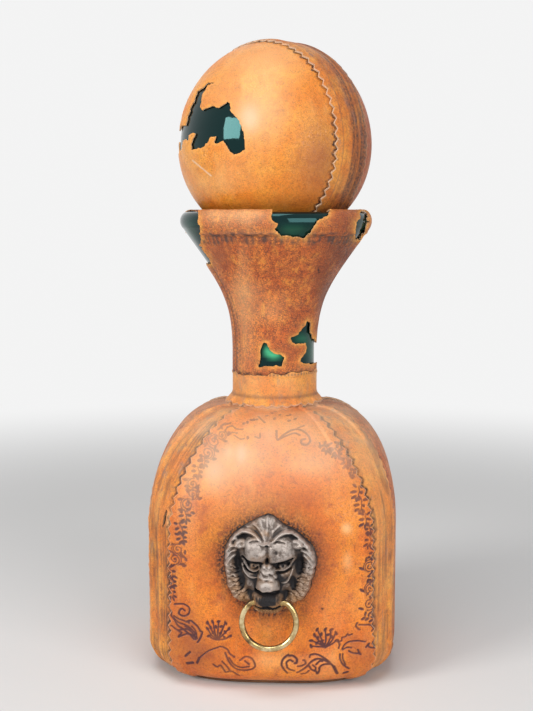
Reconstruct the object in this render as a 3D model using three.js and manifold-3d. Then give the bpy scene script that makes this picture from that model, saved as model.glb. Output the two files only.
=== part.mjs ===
// Leather-wrapped glass decanter with a ball stopper and a lion-mask ring pull.
// Millimetres, +Z up. The origin is the middle of the base, on the table. The lion mask faces -Y.
// An azimuth is an angle about Z: 0 at the front, positive towards +X.

import * as THREE from "three";
import { mergeVertices } from "three/addons/utils/BufferGeometryUtils.js";
import Module from "manifold-3d";

const wasm = await Module();
wasm.setup();

const radians = THREE.MathUtils.degToRad;

// Hide and clearances
const HIDE = 1.1; // thickness of the leather
const GAP = 0.3; // clearance between two pieces that touch
const LAYER = HIDE + GAP; // what one layer of hide adds to whatever it covers
const LAP_GAP = 0.6; // clearance under a pinked edge, which lies on the facets of another hide
const LAP_LAYER = HIDE + LAP_GAP; // what the hide under a pinked edge adds
const TOOTH_PITCH = 5; // pinked edges, along the edge
const TOOTH_DEPTH = 2; // pinked edges, from root to tip
const SPOKES = 24; // facets around every turned piece
const FACETS = { fillet: 3, dome: 6, root: 2, flare: 5, bead: 5 }; // along the bottle's profile
const BALL_FACETS = { outside: 11, inside: 8, belt: 26, capRound: 28, capRings: 6 };
const WIRE_FACETS = { along: 44, hoop: 24, quarter: 2 };
const BAR_SIDES = 10;
const SHORTEST_STEP = 0.2; // two facet lines are at least this far apart along a profile
const SMALLEST_TURN = radians(0.5); // and this far apart around the axis

// Glass bottle, outside
const BASE_PAD = 2.6; // thick sole leather under the bottle
const BODY_HALF_WIDTH = 64.6; // from the axis to the middle of a side
const BODY_SQUARENESS = 3.3; // superellipse exponent of the body in plan: 2 is round
const FOOT_FILLET = 15;
const FOOT_TUCK = radians(15); // arc of the foot fillet that the panels leave bare underneath
const WALL_RISE = 61; // upright side above the foot fillet
const SHOULDER_RISE = 58;
const NECK_RADIUS = 21;
const ROOT_FILLET = 3; // hollow where the shoulder meets the neck
const NECK_RISE = 26;
const FLARE_RISE = 64;
const FLARE_RADIUS = 47.4; // where the flare ends under the lip
const FLARE_LEAN = radians(35); // of the flare's top edge, from upright
const FLARE_PULL = 28; // length of the flare curve's handles
const LIP_RISE = 1.5; // from the flare's end up to where the roll begins
const LIP_RADIUS = 49.8; // outside of the rolled lip
const LIP_BEAD = 3.6; // radius of the rolled lip
const LIP_START = radians(-60); // where the roll begins on the bead's circle
const BOTTLE_WALL = 3.6;

// Leather on the bottle
const FRONT_SEAM = radians(47); // azimuth of the front panel's edges
const STRIP_SEAM = radians(67.5); // azimuth of the corner strips' outer edges
const LAP = radians(4); // width of a lapped edge
const LAP_RAMP = radians(2); // over which a lapped edge climbs onto its neighbour
const LAP_MARGIN = radians(1); // the covered edge stops this far short of the climb
const COLLAR_RISE = 12.5; // collar band on the neck, above the root
const COLLAR_SKIRT = 4; // collar's pinked skirt on the shoulder
const SLEEVE_SEAM = radians(-75); // azimuth of the upright seam in the neck sleeve
const SLEEVE_SLIT = radians(0.6); // half the opening of that seam
const RIM_SKIRT = 2.5; // rim band's lap over the neck sleeve
const RIM_TURN_IN = 4; // rim band's turn over the top of the lip

// Ball stopper
const BALL_RADIUS = 49.3; // glass, across
const BALL_HALF_HEIGHT = 52.6; // glass, upright
const BALL_LIFT = 37.7; // ball's middle above the top of the glass lip
const BALL_WALL = 3.2;
const BALL_GAP = 0.95; // between the ball and its hide, whose facets run another way
const SHANK_RADIUS = 15; // where it leaves the ball
const SHANK_TIP_RADIUS = 12.5;
const SHANK_DEPTH = 66; // reach below the top of the glass lip
const SHANK_WALL = 3.6;
const CORK_LENGTH = 24;
const CORK_SETBACK = 6; // bare shank below the cork
const BELT_AZIMUTH = radians(55); // the belt's plane holds the axis and this azimuth
const BELT_HALF_ANGLE = radians(14.5); // half the belt's width, seen from the ball's middle
const BELT_LAP = radians(4.5);
const HIDE_END = radians(25); // cone about the shank that the ball's hide leaves bare
const CAP_POLE = radians(4); // half angle of the last facets around a cap's pole

// Lion mask and ring
const MASK_HALF_WIDTH = 23; // mean radius of the mane's outline
const MASK_HEIGHT = 66; // height of the mask's middle above the table
const MASK_RIM = 2.6; // thickness at the mane's edge
const MASK_DOME = 4.6; // rise of the plain dome under the features
const STUD_RADIUS = 1.4; // two studs through the hide hold the mask
const STUD_SPACING = 24;
const PIVOT_DROP = 16.2; // ring's axis below the mask's middle
const PIVOT_OUT = 7.6; // ring's axis in front of the mask's back
const WIRE_RADIUS = 1.5;
const RING_RADIUS = 13.4; // of the wire's middle
const PIN_LENGTH = 3; // turned-in end of the ring in its socket
const PIN_BEND = 2.1; // radius of the wire where it turns in
const PIN_GAP = 0.35; // between a ring end and its socket

// Places that follow from those
const footZ = BASE_PAD + GAP;
const wallZ = footZ + FOOT_FILLET;
const shoulderZ = wallZ + WALL_RISE;
const rootZ = shoulderZ + SHOULDER_RISE;
const neckZ = rootZ + ROOT_FILLET;
const flareZ = neckZ + NECK_RISE;
const flareTopZ = flareZ + FLARE_RISE;
const beadRadius = LIP_RADIUS - LIP_BEAD; // of the bead's middle, from the axis
const beadZ = flareTopZ + LIP_RISE - LIP_BEAD * Math.sin(LIP_START);
const lipZ = beadZ + LIP_BEAD;
const ballZ = lipZ + BALL_LIFT;
const pivotZ = MASK_HEIGHT - PIVOT_DROP;

// Materials
const tanHide = new THREE.MeshStandardMaterial({ color: 0xc4702a, roughness: 0.55 });
const stripHide = new THREE.MeshStandardMaterial({ color: 0xbe8546, roughness: 0.6 });
const russetHide = new THREE.MeshStandardMaterial({ color: 0xa65c2c, roughness: 0.65 });
const soleHide = new THREE.MeshStandardMaterial({ color: 0x6d4021, roughness: 0.8 });
const greenGlass = new THREE.MeshStandardMaterial({ color: 0x0d3b2a, roughness: 0.08 });
const corkBark = new THREE.MeshStandardMaterial({ color: 0xb08a5c, roughness: 0.9 });
const agedBronze = new THREE.MeshStandardMaterial({ color: 0x5b5048, roughness: 0.5, metalness: 0.85 });
const brightBrass = new THREE.MeshStandardMaterial({ color: 0xc8a653, roughness: 0.25, metalness: 1 });

// Solids and meshes

// A closed geometry from points and triangles, turned to face outwards.
function closedGeometry(points, triangles) {
  const volume = triangles.reduce((sum, [a, b, c]) => {
    return sum + points[a].dot(new THREE.Vector3().crossVectors(points[b], points[c]));
  }, 0);
  const faces = volume < 0 ? triangles.map(([a, b, c]) => [a, c, b]) : triangles;
  return new THREE.BufferGeometry().setFromPoints(points).setIndex(faces.flat());
}

function solidOf(geometry) {
  const bare = geometry.clone().deleteAttribute("normal").deleteAttribute("uv");
  const merged = mergeVertices(bare, 1e-3);
  return new wasm.Manifold(
    new wasm.Mesh({
      numProp: 3,
      vertProperties: merged.attributes.position.array,
      triVerts: new Uint32Array(merged.index.array),
    }),
  );
}

function geometryOf(solid) {
  const { vertProperties, triVerts } = solid.getMesh();
  return new THREE.BufferGeometry()
    .setAttribute("position", new THREE.BufferAttribute(vertProperties, 3))
    .setIndex(new THREE.BufferAttribute(triVerts, 1));
}

function cut(geometry, cutters) {
  return geometryOf(cutters.reduce((solid, cutter) => solid.subtract(solidOf(cutter)), solidOf(geometry)));
}

function join(geometry, additions) {
  return geometryOf(additions.reduce((solid, added) => solid.add(solidOf(added)), solidOf(geometry)));
}

const decanter = new THREE.Group();

function add(name, geometry, material) {
  const mesh = new THREE.Mesh(geometry, material);
  mesh.name = name;
  decanter.add(mesh);
}

// A profile of (radius, height) turned about Z.
function turned(profile) {
  return new THREE.LatheGeometry(profile, SPOKES).rotateX(Math.PI / 2);
}

// Skins

// How far a superellipse reaches at an azimuth, as a share of its half width.
function squareReach(azimuth, exponent) {
  const sum = Math.abs(Math.sin(azimuth)) ** exponent + Math.abs(Math.cos(azimuth)) ** exponent;
  return sum ** (-1 / exponent);
}

// The outside of a glass piece in facets: a profile turned about Z and squared off in plan.
// Hide that covers it takes the same facets, so that each layer stays clear of the one below.
class Skin {
  constructor(profile, exponentAt) {
    this.profile = profile;
    this.exponentAt = exponentAt;
    this.normals = profile.map((_, i) => {
      const before = profile[Math.max(i - 1, 0)];
      const after = profile[Math.min(i + 1, profile.length - 1)];
      const along = after.clone().sub(before).normalize();
      return new THREE.Vector2(along.y, -along.x);
    });
    this.lengths = [0];
    for (let i = 1; i < profile.length; i++) {
      this.lengths.push(this.lengths[i - 1] + profile[i].distanceTo(profile[i - 1]));
    }
  }

  lifted(station, lift) {
    return this.profile[station].clone().addScaledVector(this.normals[station], lift);
  }

  atStation(station, azimuth, lift) {
    const { x: radius, y: height } = this.lifted(station, lift);
    const reach = radius * squareReach(azimuth, this.exponentAt(this.profile[station].y));
    return new THREE.Vector3(reach * Math.sin(azimuth), -reach * Math.cos(azimuth), height);
  }

  // A point on the facets, lift above the glass, at a length along the profile.
  point(azimuth, length, lift) {
    const above = this.lengths.findIndex((l) => l >= length - 1e-9);
    const upper = Math.max(above === -1 ? this.lengths.length - 1 : above, 1);
    const lower = upper - 1;
    const rise = (length - this.lengths[lower]) / (this.lengths[upper] - this.lengths[lower]);
    const step = (2 * Math.PI) / SPOKES;
    const spoke = Math.floor(azimuth / step + 1e-9);
    const share = azimuth / step - spoke;
    const onSpoke = (k) => {
      const low = this.atStation(lower, k * step, lift);
      return low.lerp(this.atStation(upper, k * step, lift), rise);
    };
    return onSpoke(spoke).lerp(onSpoke(spoke + 1), share);
  }

  // Lengths of the stations strictly between two lengths, with those two at the ends.
  stations(from, to) {
    const between = this.lengths.filter((l) => l > from + SHORTEST_STEP && l < to - SHORTEST_STEP);
    return [from, ...between, to];
  }
}

// A shell of hide. Each line is [{ key, outer, inner }] with rising keys, and neighbouring lines are
// zipped together, so that they may have different counts. Closed lines run round and meet themselves.
function hideShell(lines, closed = false) {
  const points = [];
  const triangles = [];
  const rows = lines.map((line) => {
    const row = line.map(({ key, outer, inner }) => {
      points.push(outer, inner);
      return { key, outer: points.length - 2, inner: points.length - 1 };
    });
    if (closed) row.push({ ...row[0], key: row[0].key + 1 });
    return row;
  });
  const face = (a, b, c) => {
    triangles.push([a.outer, b.outer, c.outer], [c.inner, b.inner, a.inner]);
  };
  const wall = (a, b) => {
    triangles.push([a.outer, b.outer, b.inner], [a.outer, b.inner, a.inner]);
  };
  for (let r = 0; r + 1 < rows.length; r++) {
    const [left, right] = [rows[r], rows[r + 1]];
    let [i, j] = [0, 0];
    while (i + 1 < left.length || j + 1 < right.length) {
      const leftNext = i + 1 < left.length ? left[i + 1].key : Infinity;
      const rightNext = j + 1 < right.length ? right[j + 1].key : Infinity;
      if (leftNext <= rightNext) face(left[i], right[j], left[++i]);
      else face(left[i], right[j], right[++j]);
    }
    if (!closed) {
      wall(right[0], left[0]);
      wall(left.at(-1), right.at(-1));
    }
  }
  const [first, last] = [rows[0], rows.at(-1)];
  for (let i = 0; i + 1 < first.length; i++) wall(first[i], first[i + 1]);
  for (let j = 0; j + 1 < last.length; j++) wall(last[j + 1], last[j]);
  return closedGeometry(points, triangles);
}

const allRound = Array.from({ length: SPOKES }, (_, i) => (i * 2 * Math.PI) / SPOKES);

// Azimuths of the spokes strictly between two azimuths, with those two at the ends.
function spokesBetween(from, to) {
  const step = (2 * Math.PI) / SPOKES;
  const first = Math.ceil((from + SMALLEST_TURN) / step);
  const last = Math.floor((to - SMALLEST_TURN) / step);
  const spokes = Array.from({ length: Math.max(last - first + 1, 0) }, (_, i) => (first + i) * step);
  return [from, ...spokes, to];
}

function teethAlong(length) {
  return Math.max(2, Math.round(length / TOOTH_PITCH));
}

// Glass bottle

// Points along one stretch of a profile, without its first point.
function stretch(curve, count) {
  return curve.getPoints(count).slice(1);
}

function arc(middleR, middleZ, radiusR, radiusZ, from, to) {
  return new THREE.EllipseCurve(middleR, middleZ, radiusR, radiusZ, from, to, to < from);
}

function bottleProfile() {
  const footR = BODY_HALF_WIDTH - FOOT_FILLET;
  const shoulderR = NECK_RADIUS + ROOT_FILLET;
  const lean = new THREE.Vector2(Math.sin(FLARE_LEAN), Math.cos(FLARE_LEAN));
  const flareTop = new THREE.Vector2(FLARE_RADIUS, flareTopZ);
  const down = -Math.PI / 2;
  const tuck = down + FOOT_TUCK;
  const foot = [new THREE.Vector2(0, footZ), new THREE.Vector2(footR, footZ)];
  const tucked = stretch(arc(footR, wallZ, FOOT_FILLET, FOOT_FILLET, down, tuck), 1);
  const fillet = stretch(arc(footR, wallZ, FOOT_FILLET, FOOT_FILLET, tuck, 0), FACETS.fillet);
  const side = [new THREE.Vector2(BODY_HALF_WIDTH, shoulderZ)];
  const dome = stretch(
    arc(shoulderR, shoulderZ, BODY_HALF_WIDTH - shoulderR, SHOULDER_RISE, 0, Math.PI / 2),
    FACETS.dome,
  );
  const root = stretch(arc(shoulderR, neckZ, ROOT_FILLET, ROOT_FILLET, down, -Math.PI), FACETS.root);
  const neck = [new THREE.Vector2(NECK_RADIUS, flareZ)];
  const flare = stretch(
    new THREE.CubicBezierCurve(
      neck.at(-1),
      new THREE.Vector2(NECK_RADIUS, flareZ + FLARE_PULL),
      flareTop.clone().addScaledVector(lean, -FLARE_PULL),
      flareTop,
    ),
    FACETS.flare,
  );
  const bead = arc(beadRadius, beadZ, LIP_BEAD, LIP_BEAD, LIP_START, Math.PI).getPoints(FACETS.bead);
  const profile = [...foot, ...tucked, ...fillet, ...side, ...dome, ...root, ...neck, ...flare, ...bead];
  const ends = [foot, tucked, fillet, side, dome, root, neck, flare, bead].reduce(
    (counts, part) => [...counts, (counts.at(-1) ?? -1) + part.length],
    [],
  );
  const [, tuckEnd, , , domeEnd, rootEnd, , flareEnd] = ends;
  return { profile, tuckEnd, domeEnd, rootEnd, flareEnd };
}

const { profile: outside, tuckEnd, domeEnd, rootEnd, flareEnd } = bottleProfile();

// The body's plan is squarish, and rounds off over the shoulder into the neck.
function bottleExponent(height) {
  const climb = THREE.MathUtils.clamp((height - shoulderZ) / SHOULDER_RISE, 0, 1);
  return 2 + (BODY_SQUARENESS - 2) * (1 - climb ** 2);
}

const bottleSkin = new Skin(outside, bottleExponent);

// Inside of the glass, from the lip down to the middle of the floor, with half as many facets.
const inside = Array.from({ length: flareEnd + 1 }, (_, i) => flareEnd - i)
  .filter((station) => station % 2 === 0 || station === flareEnd)
  .map((station) =>
    station === 0
      ? new THREE.Vector2(0, footZ + BOTTLE_WALL)
      : bottleSkin.lifted(station, -BOTTLE_WALL),
  );

function squaredOff(geometry, exponentAt) {
  const place = geometry.getAttribute("position");
  for (let i = 0; i < place.count; i++) {
    const [x, y] = [place.getX(i), place.getY(i)];
    const reach = squareReach(Math.atan2(x, -y), exponentAt(place.getZ(i)));
    place.setXY(i, x * reach, y * reach);
  }
  return geometry;
}

add("glass_bottle", squaredOff(turned([...outside, ...inside]), bottleExponent), greenGlass);

// Sole pad under the bottle

function basePad() {
  const reach = BODY_HALF_WIDTH - FOOT_FILLET * (1 - Math.sin(FOOT_TUCK)) - 2 * GAP;
  const corners = allRound.map((azimuth) => {
    const out = reach * squareReach(azimuth, BODY_SQUARENESS);
    return new THREE.Vector2(out * Math.sin(azimuth), -out * Math.cos(azimuth));
  });
  return new THREE.ExtrudeGeometry(new THREE.Shape(corners), { depth: BASE_PAD, bevelEnabled: false });
}

add("base_pad", basePad(), soleHide);

// Panels and corner strips of the body

const panelFoot = bottleSkin.lengths[tuckEnd];
const panelTop = bottleSkin.lengths[domeEnd];

// One piece of hide from the foot up to the neck, between two edges { azimuth, laps }.
// An edge that laps climbs over its neighbour and is pinked.
function bodyPanel(left, right) {
  const liftAt = (azimuth) => {
    const climbs = [left, right].map(({ azimuth: edge, laps }) => {
      const inFromEdge = Math.abs(azimuth - edge);
      return laps ? THREE.MathUtils.clamp((LAP + LAP_RAMP - inFromEdge) / LAP_RAMP, 0, 1) : 0;
    });
    return GAP + LAP_LAYER * Math.max(...climbs);
  };
  const pointOf = (azimuth, length, lift) => ({
    key: length,
    outer: bottleSkin.point(azimuth, length, lift + HIDE),
    inner: bottleSkin.point(azimuth, length, lift),
  });
  const column = (azimuth) =>
    bottleSkin.stations(panelFoot, panelTop).map((l) => pointOf(azimuth, l, liftAt(azimuth)));
  const pinked = (azimuth) => {
    const halfTeeth = 2 * teethAlong(panelTop - panelFoot);
    return Array.from({ length: halfTeeth + 1 }, (_, i) => {
      const length = panelFoot + ((panelTop - panelFoot) * i) / halfTeeth;
      const radius = Math.hypot(...bottleSkin.point(azimuth, length, 0).toArray().slice(0, 2));
      const side = i % 2 ? 1 : -1;
      return pointOf(azimuth + (side * TOOTH_DEPTH) / (2 * radius), length, GAP + LAP_LAYER);
    });
  };
  const climbs = [
    ...(left.laps ? [left.azimuth + LAP, left.azimuth + LAP + LAP_RAMP] : []),
    ...(right.laps ? [right.azimuth - LAP, right.azimuth - LAP - LAP_RAMP] : []),
  ];
  const [, ...spokes] = spokesBetween(left.azimuth, right.azimuth).slice(0, -1);
  const clear = spokes.filter((s) => climbs.every((c) => Math.abs(c - s) > SMALLEST_TURN));
  const middle = [...climbs, ...clear].sort((a, b) => a - b);
  const edgeLine = (edge) => (edge.laps ? pinked(edge.azimuth) : column(edge.azimuth));
  return hideShell([edgeLine(left), ...middle.map(column), edgeLine(right)]);
}

// The covered edge of a neighbour starts this far under a lapping edge.
const covered = LAP - LAP_MARGIN;

function mirrored(left, right) {
  return [
    { azimuth: -right.azimuth, laps: right.laps },
    { azimuth: -left.azimuth, laps: left.laps },
  ];
}

const frontEdges = [
  { azimuth: -FRONT_SEAM, laps: true },
  { azimuth: FRONT_SEAM, laps: true },
];
const rightStripEdges = [
  { azimuth: FRONT_SEAM - covered, laps: false },
  { azimuth: STRIP_SEAM, laps: true },
];
const sideEdges = [
  { azimuth: STRIP_SEAM - covered, laps: false },
  { azimuth: Math.PI - STRIP_SEAM + covered, laps: false },
];

function turnedRound(edges) {
  return edges.map(({ azimuth, laps }) => ({ azimuth: azimuth + Math.PI, laps }));
}

// Lion mask

// The mask's flat back lies against the hide over the middle of the front side.
const maskSeat = BODY_HALF_WIDTH + LAYER + GAP;

// The mane's outline: locks all round, a pointed forelock on top, a chin below with a nick beside it.
// Heights and reaches here are for a mask of FACE_SIZE half width, and the whole face scales with it.
const FACE_SIZE = 23;
const faceScale = MASK_HALF_WIDTH / FACE_SIZE;
const MANE_LOCKS = 26;
const OUTLINE = {
  forelock: { height: 1.8, middle: radians(90), width: radians(17) },
  chin: { height: 2.2, middle: radians(-90), width: radians(17) },
  rightNick: { height: -2.4, middle: radians(-60), width: radians(9) },
  leftNick: { height: -2.4, middle: radians(-120), width: radians(9) },
};
const LOCK_WAVE = 0.35; // waviness of the outline

function maskReach(angle) {
  const swells = Object.values(OUTLINE).map(({ height, middle, width }) => {
    const turn = Math.atan2(Math.sin(angle - middle), Math.cos(angle - middle));
    return height * Math.exp(-((turn / width) ** 2));
  });
  const plain = FACE_SIZE + LOCK_WAVE * Math.cos(MANE_LOCKS * angle);
  return faceScale * swells.reduce((sum, swell) => sum + swell, plain);
}

// Swellings and hollows of the face. Each stands on the dome at a place (x, up) from the mask's middle,
// fades over its reach (across, along), and is repeated on the left where x isn't zero.
const FACE = {
  ear: { height: 1.8, x: 12.8, up: 13.2, across: 4.2, along: 3.2 },
  earHollow: { height: -2.6, x: 12.4, up: 13.8, across: 2.2, along: 1.4 },
  brow: { height: 2.6, x: 5.6, up: 6.6, across: 4.4, along: 4 },
  frown: { height: -1.7, x: 0, up: 5, across: 0.9, along: 7 },
  eyeSocket: { height: -2.8, x: 7.5, up: -0.9, across: 3.2, along: 1.9 },
  eyeball: { height: 1.9, x: 7.5, up: -1.4, across: 1.7, along: 1.2 },
  cheekHollow: { height: -3.2, x: 16.2, up: -1.5, across: 3, along: 7.5 },
  bridge: { height: 3.6, x: 0, up: -5.5, across: 3.2, along: 7.5 },
  nose: { height: 2.6, x: 0, up: -12.4, across: 4.4, along: 2.8, steepness: 4 },
  muzzle: { height: 7, x: 0, up: -15, across: 8.4, along: 7, steepness: 4 },
  mouth: { height: -3.4, x: 0, up: -18.6, across: 4.8, along: 1.2 },
  chin: { height: 2.8, x: 0, up: -22, across: 4.8, along: 2.6 },
};
// The mane rises between two shares of the outline's reach, in locks that sweep round as they run out.
const MANE = { height: 0.8, inner: 0.6, outer: 0.9, locks: 19, sweep: 5 };
const FORELOCK = { height: 0.6, locks: 10, root: 3, up: 15, across: 8, along: 6 };

function swelling(x, up, { height, x: middle, up: middleUp, across, along, steepness = 2 }) {
  const fade = (from) => Math.abs((from - middle) / across) ** steepness;
  const fadeUp = Math.abs((up - middleUp) / along) ** steepness;
  const nearest = middle === 0 ? x : Math.abs(x);
  return height * Math.exp(-fade(nearest) - fadeUp);
}

// Height of the face over the mask's back.
function maskHeight(acrossMask, upMask) {
  const [x, up] = [acrossMask / faceScale, upMask / faceScale];
  const angle = Math.atan2(up, x);
  const out = Math.min(Math.hypot(acrossMask, upMask) / maskReach(angle), 1);
  const mane = THREE.MathUtils.smoothstep(out, MANE.inner, MANE.outer);
  const locks = MANE.height * mane * Math.cos(MANE.locks * angle + MANE.sweep * out);
  const fan = Math.cos(FORELOCK.locks * Math.atan2(x, up - FORELOCK.root));
  const forelock = fan * swelling(x, up, { ...FORELOCK, x: 0 });
  const face = Object.values(FACE).reduce((sum, part) => sum + swelling(x, up, part), locks + forelock);
  const flatten = 1 - out ** 8; // the relief dies away at the very edge
  return MASK_RIM + MASK_DOME * (1 - out ** 2) + faceScale * face * flatten;
}

// A relief on a polar grid of points, with a flat back.
const MASK_RINGS = 13;
const MASK_SPOKES = 48;

function maskGeometry() {
  const grid = (ring, spoke) => {
    const angle = (spoke * 2 * Math.PI) / MASK_SPOKES;
    const radius = (maskReach(angle) * ring) / MASK_RINGS;
    return [radius * Math.cos(angle), radius * Math.sin(angle)];
  };
  const place = ([x, up], height) => new THREE.Vector3(x, -(maskSeat + height), MASK_HEIGHT + up);
  const points = [place([0, 0], maskHeight(0, 0)), place([0, 0], 0)];
  const triangles = [];
  const ringStart = (ring) => 2 + (ring - 1) * MASK_SPOKES;
  const front = (ring, spoke) => (ring === 0 ? 0 : ringStart(ring) + (spoke % MASK_SPOKES));
  const back = (spoke) => ringStart(MASK_RINGS + 1) + (spoke % MASK_SPOKES);
  for (let ring = 1; ring <= MASK_RINGS; ring++) {
    for (let spoke = 0; spoke < MASK_SPOKES; spoke++) {
      const at = grid(ring, spoke);
      const next = spoke + 1;
      points.push(place(at, maskHeight(...at)));
      if (ring > 1) triangles.push([front(ring - 1, spoke), front(ring, spoke), front(ring - 1, next)]);
      triangles.push([front(ring - 1, next), front(ring, spoke), front(ring, next)]);
    }
  }
  for (let spoke = 0; spoke < MASK_SPOKES; spoke++) {
    const next = spoke + 1;
    points.push(place(grid(MASK_RINGS, spoke), 0));
    triangles.push([front(MASK_RINGS, spoke), back(spoke), front(MASK_RINGS, next)]);
    triangles.push([front(MASK_RINGS, next), back(spoke), back(next)], [1, back(next), back(spoke)]);
  }
  return closedGeometry(points, triangles);
}

// A bar of round section between two points.
function bar(from, to, radius) {
  const length = from.distanceTo(to);
  const along = to.clone().sub(from).normalize();
  const turn = new THREE.Quaternion().setFromUnitVectors(new THREE.Vector3(0, 1, 0), along);
  const middle = from.clone().lerp(to, 0.5);
  const round = new THREE.CylinderGeometry(radius, radius, length, BAR_SIDES);
  return round.applyQuaternion(turn).translate(middle.x, middle.y, middle.z);
}

const pivotY = -(maskSeat + PIVOT_OUT);
const studPlaces = [-STUD_SPACING / 2, STUD_SPACING / 2];

// A stud from inside the mask's rim, as a bar of a given radius that reaches inward from the mask's back.
function stud(x, radius, inward) {
  return bar(
    new THREE.Vector3(x, -(maskSeat + MASK_RIM), MASK_HEIGHT),
    new THREE.Vector3(x, -(maskSeat - inward), MASK_HEIGHT),
    radius,
  );
}

// Where the ring's wire turns in, on each side of the muzzle.
const hoopEnd = Math.PI / 4; // from upright, about the hoop's middle
const hoopEndX = RING_RADIUS * Math.sin(hoopEnd);
const hoopDrop = WIRE_RADIUS / 2; // from the pivot to the hoop's end
const hoopMiddleZ = pivotZ - hoopDrop - RING_RADIUS * Math.cos(hoopEnd);
const pinOuterX = hoopEndX - PIN_BEND;
const pinInnerX = pinOuterX - PIN_LENGTH;

function lionMask() {
  const sockets = [-1, 1].map((side) =>
    bar(
      new THREE.Vector3(side * (pinInnerX - PIN_GAP), pivotY, pivotZ),
      new THREE.Vector3(side * MASK_HALF_WIDTH, pivotY, pivotZ),
      WIRE_RADIUS + PIN_GAP,
    ),
  );
  return join(
    cut(maskGeometry(), sockets),
    studPlaces.map((x) => stud(x, STUD_RADIUS, LAYER)),
  );
}

const studHoles = studPlaces.map((x) => stud(x, STUD_RADIUS + GAP, 2 * LAYER));
add("front_panel", cut(bodyPanel(...frontEdges), studHoles), tanHide);
add("back_panel", bodyPanel(...turnedRound(frontEdges)), tanHide);
add("right_panel", bodyPanel(...sideEdges), russetHide);
add("left_panel", bodyPanel(...turnedRound(sideEdges)), russetHide);
add("front_right_strip", bodyPanel(...rightStripEdges), stripHide);
add("front_left_strip", bodyPanel(...mirrored(...rightStripEdges)), stripHide);
add("back_left_strip", bodyPanel(...turnedRound(rightStripEdges)), stripHide);
add("back_right_strip", bodyPanel(...turnedRound(mirrored(...rightStripEdges))), stripHide);
add("lion_mask", lionMask(), agedBronze);

// Pull ring: an open hoop of wire whose ends turn in along the pivot

function pullRing() {
  const at = (x, z) => new THREE.Vector3(x, pivotY, z);
  const hoopArc = new THREE.EllipseCurve(
    0, hoopMiddleZ, RING_RADIUS, RING_RADIUS, Math.PI / 2 - hoopEnd, Math.PI / 2 + hoopEnd, true,
  );
  const hoop = hoopArc.getPoints(WIRE_FACETS.hoop).map(({ x, y }) => at(x, y));
  const corner = (side) => at(side * (hoopEndX - hoopDrop / Math.tan(hoopEnd)), pivotZ);
  const path = new THREE.CurvePath();
  path.add(new THREE.LineCurve3(at(pinInnerX, pivotZ), at(pinOuterX, pivotZ)));
  path.add(new THREE.QuadraticBezierCurve3(at(pinOuterX, pivotZ), corner(1), hoop[0]));
  path.add(new THREE.CatmullRomCurve3(hoop));
  path.add(new THREE.QuadraticBezierCurve3(hoop.at(-1), corner(-1), at(-pinOuterX, pivotZ)));
  path.add(new THREE.LineCurve3(at(-pinOuterX, pivotZ), at(-pinInnerX, pivotZ)));
  const section = new THREE.Shape().absarc(0, 0, WIRE_RADIUS, 0, 2 * Math.PI);
  return new THREE.ExtrudeGeometry(section, {
    steps: WIRE_FACETS.along,
    extrudePath: path,
    curveSegments: 2 * WIRE_FACETS.quarter,
  });
}

add("pull_ring", pullRing(), brightBrass);

// Collar, sleeve and rim band of the neck

// A ring of hide round the neck at a length along the profile. Uneven teeth make it pinked.
function neckLine(length, lift, azimuths) {
  return azimuths.map((azimuth) => ({
    key: azimuth / (2 * Math.PI),
    outer: bottleSkin.point(azimuth, length, lift + HIDE),
    inner: bottleSkin.point(azimuth, length, lift),
  }));
}

const rootLength = bottleSkin.lengths[rootEnd];
const collarTop = rootLength + COLLAR_RISE;

function neckCollar() {
  const skirtLift = GAP + LAP_LAYER + LAYER;
  const skirtFoot = panelTop - COLLAR_SKIRT;
  const skirtRadius = NECK_RADIUS + ROOT_FILLET + COLLAR_SKIRT;
  const halfTeeth = 2 * teethAlong(2 * Math.PI * skirtRadius);
  const teeth = Array.from({ length: halfTeeth }, (_, i) => {
    const azimuth = (i * 2 * Math.PI) / halfTeeth;
    const length = skirtFoot + (i % 2 ? TOOTH_DEPTH / 2 : -TOOTH_DEPTH / 2);
    return neckLine(length, skirtLift, [azimuth])[0];
  });
  return hideShell(
    [
      teeth,
      neckLine(panelTop + LAYER, skirtLift, allRound),
      neckLine(rootLength + LAYER, GAP, allRound),
      neckLine(collarTop, GAP, allRound),
    ],
    true,
  );
}

add("neck_collar", neckCollar(), stripHide);

// A tear in the hide, as a prism through it. The outline is in the plane x, z that faces the azimuth.
function tear(outline, azimuth, near, far) {
  const shape = new THREE.Shape(outline.map(([x, z]) => new THREE.Vector2(x, z)));
  const prism = new THREE.ExtrudeGeometry(shape, { depth: far - near, bevelEnabled: false });
  return prism.rotateX(Math.PI / 2).translate(0, -near, 0).rotateZ(azimuth);
}

const sleeveTop = bottleSkin.lengths[flareEnd];

// Heights of the tears are taken from the top of the collar and from the lip, which they hang on.
const collarTopZ = neckZ + COLLAR_RISE;
const neckTears = [
  [[-8.6, 2.5], [7, 2.5], [3.6, 8], [-3, 12], [-5, 16], [-8.6, 11]],
  [[13, 2.5], [20, 2.5], [20, 13], [16.5, 20], [15.5, 27.5], [11, 20], [7, 17], [8, 14], [14, 14], [14.5, 9]],
].map((outline) => tear(outline.map(([x, z]) => [x, collarTopZ + z]), 0, GAP, 2 * NECK_RADIUS));

const lipTears = [
  {
    azimuth: radians(12),
    through: true, // also across the hide that is turned in over the lip
    outline: [[-13, 4], [15, 4], [8, -6], [4, -12.5], [-9, -12.5], [-12, -6]],
  },
  {
    azimuth: radians(-78),
    through: false,
    outline: [[-13, 4], [13, 4], [9, -8], [4, -22], [-3, -16], [-8, -6]],
  },
  {
    azimuth: radians(72),
    through: false,
    outline: [[-9, 4], [10, 4], [7, -8], [1, -15], [-6, -12], [-4, -5]],
  },
];

function lipTear({ azimuth, outline }, from) {
  return tear(outline.map(([x, z]) => [x, lipZ + z]), azimuth, from, 2 * LIP_RADIUS);
}

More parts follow.
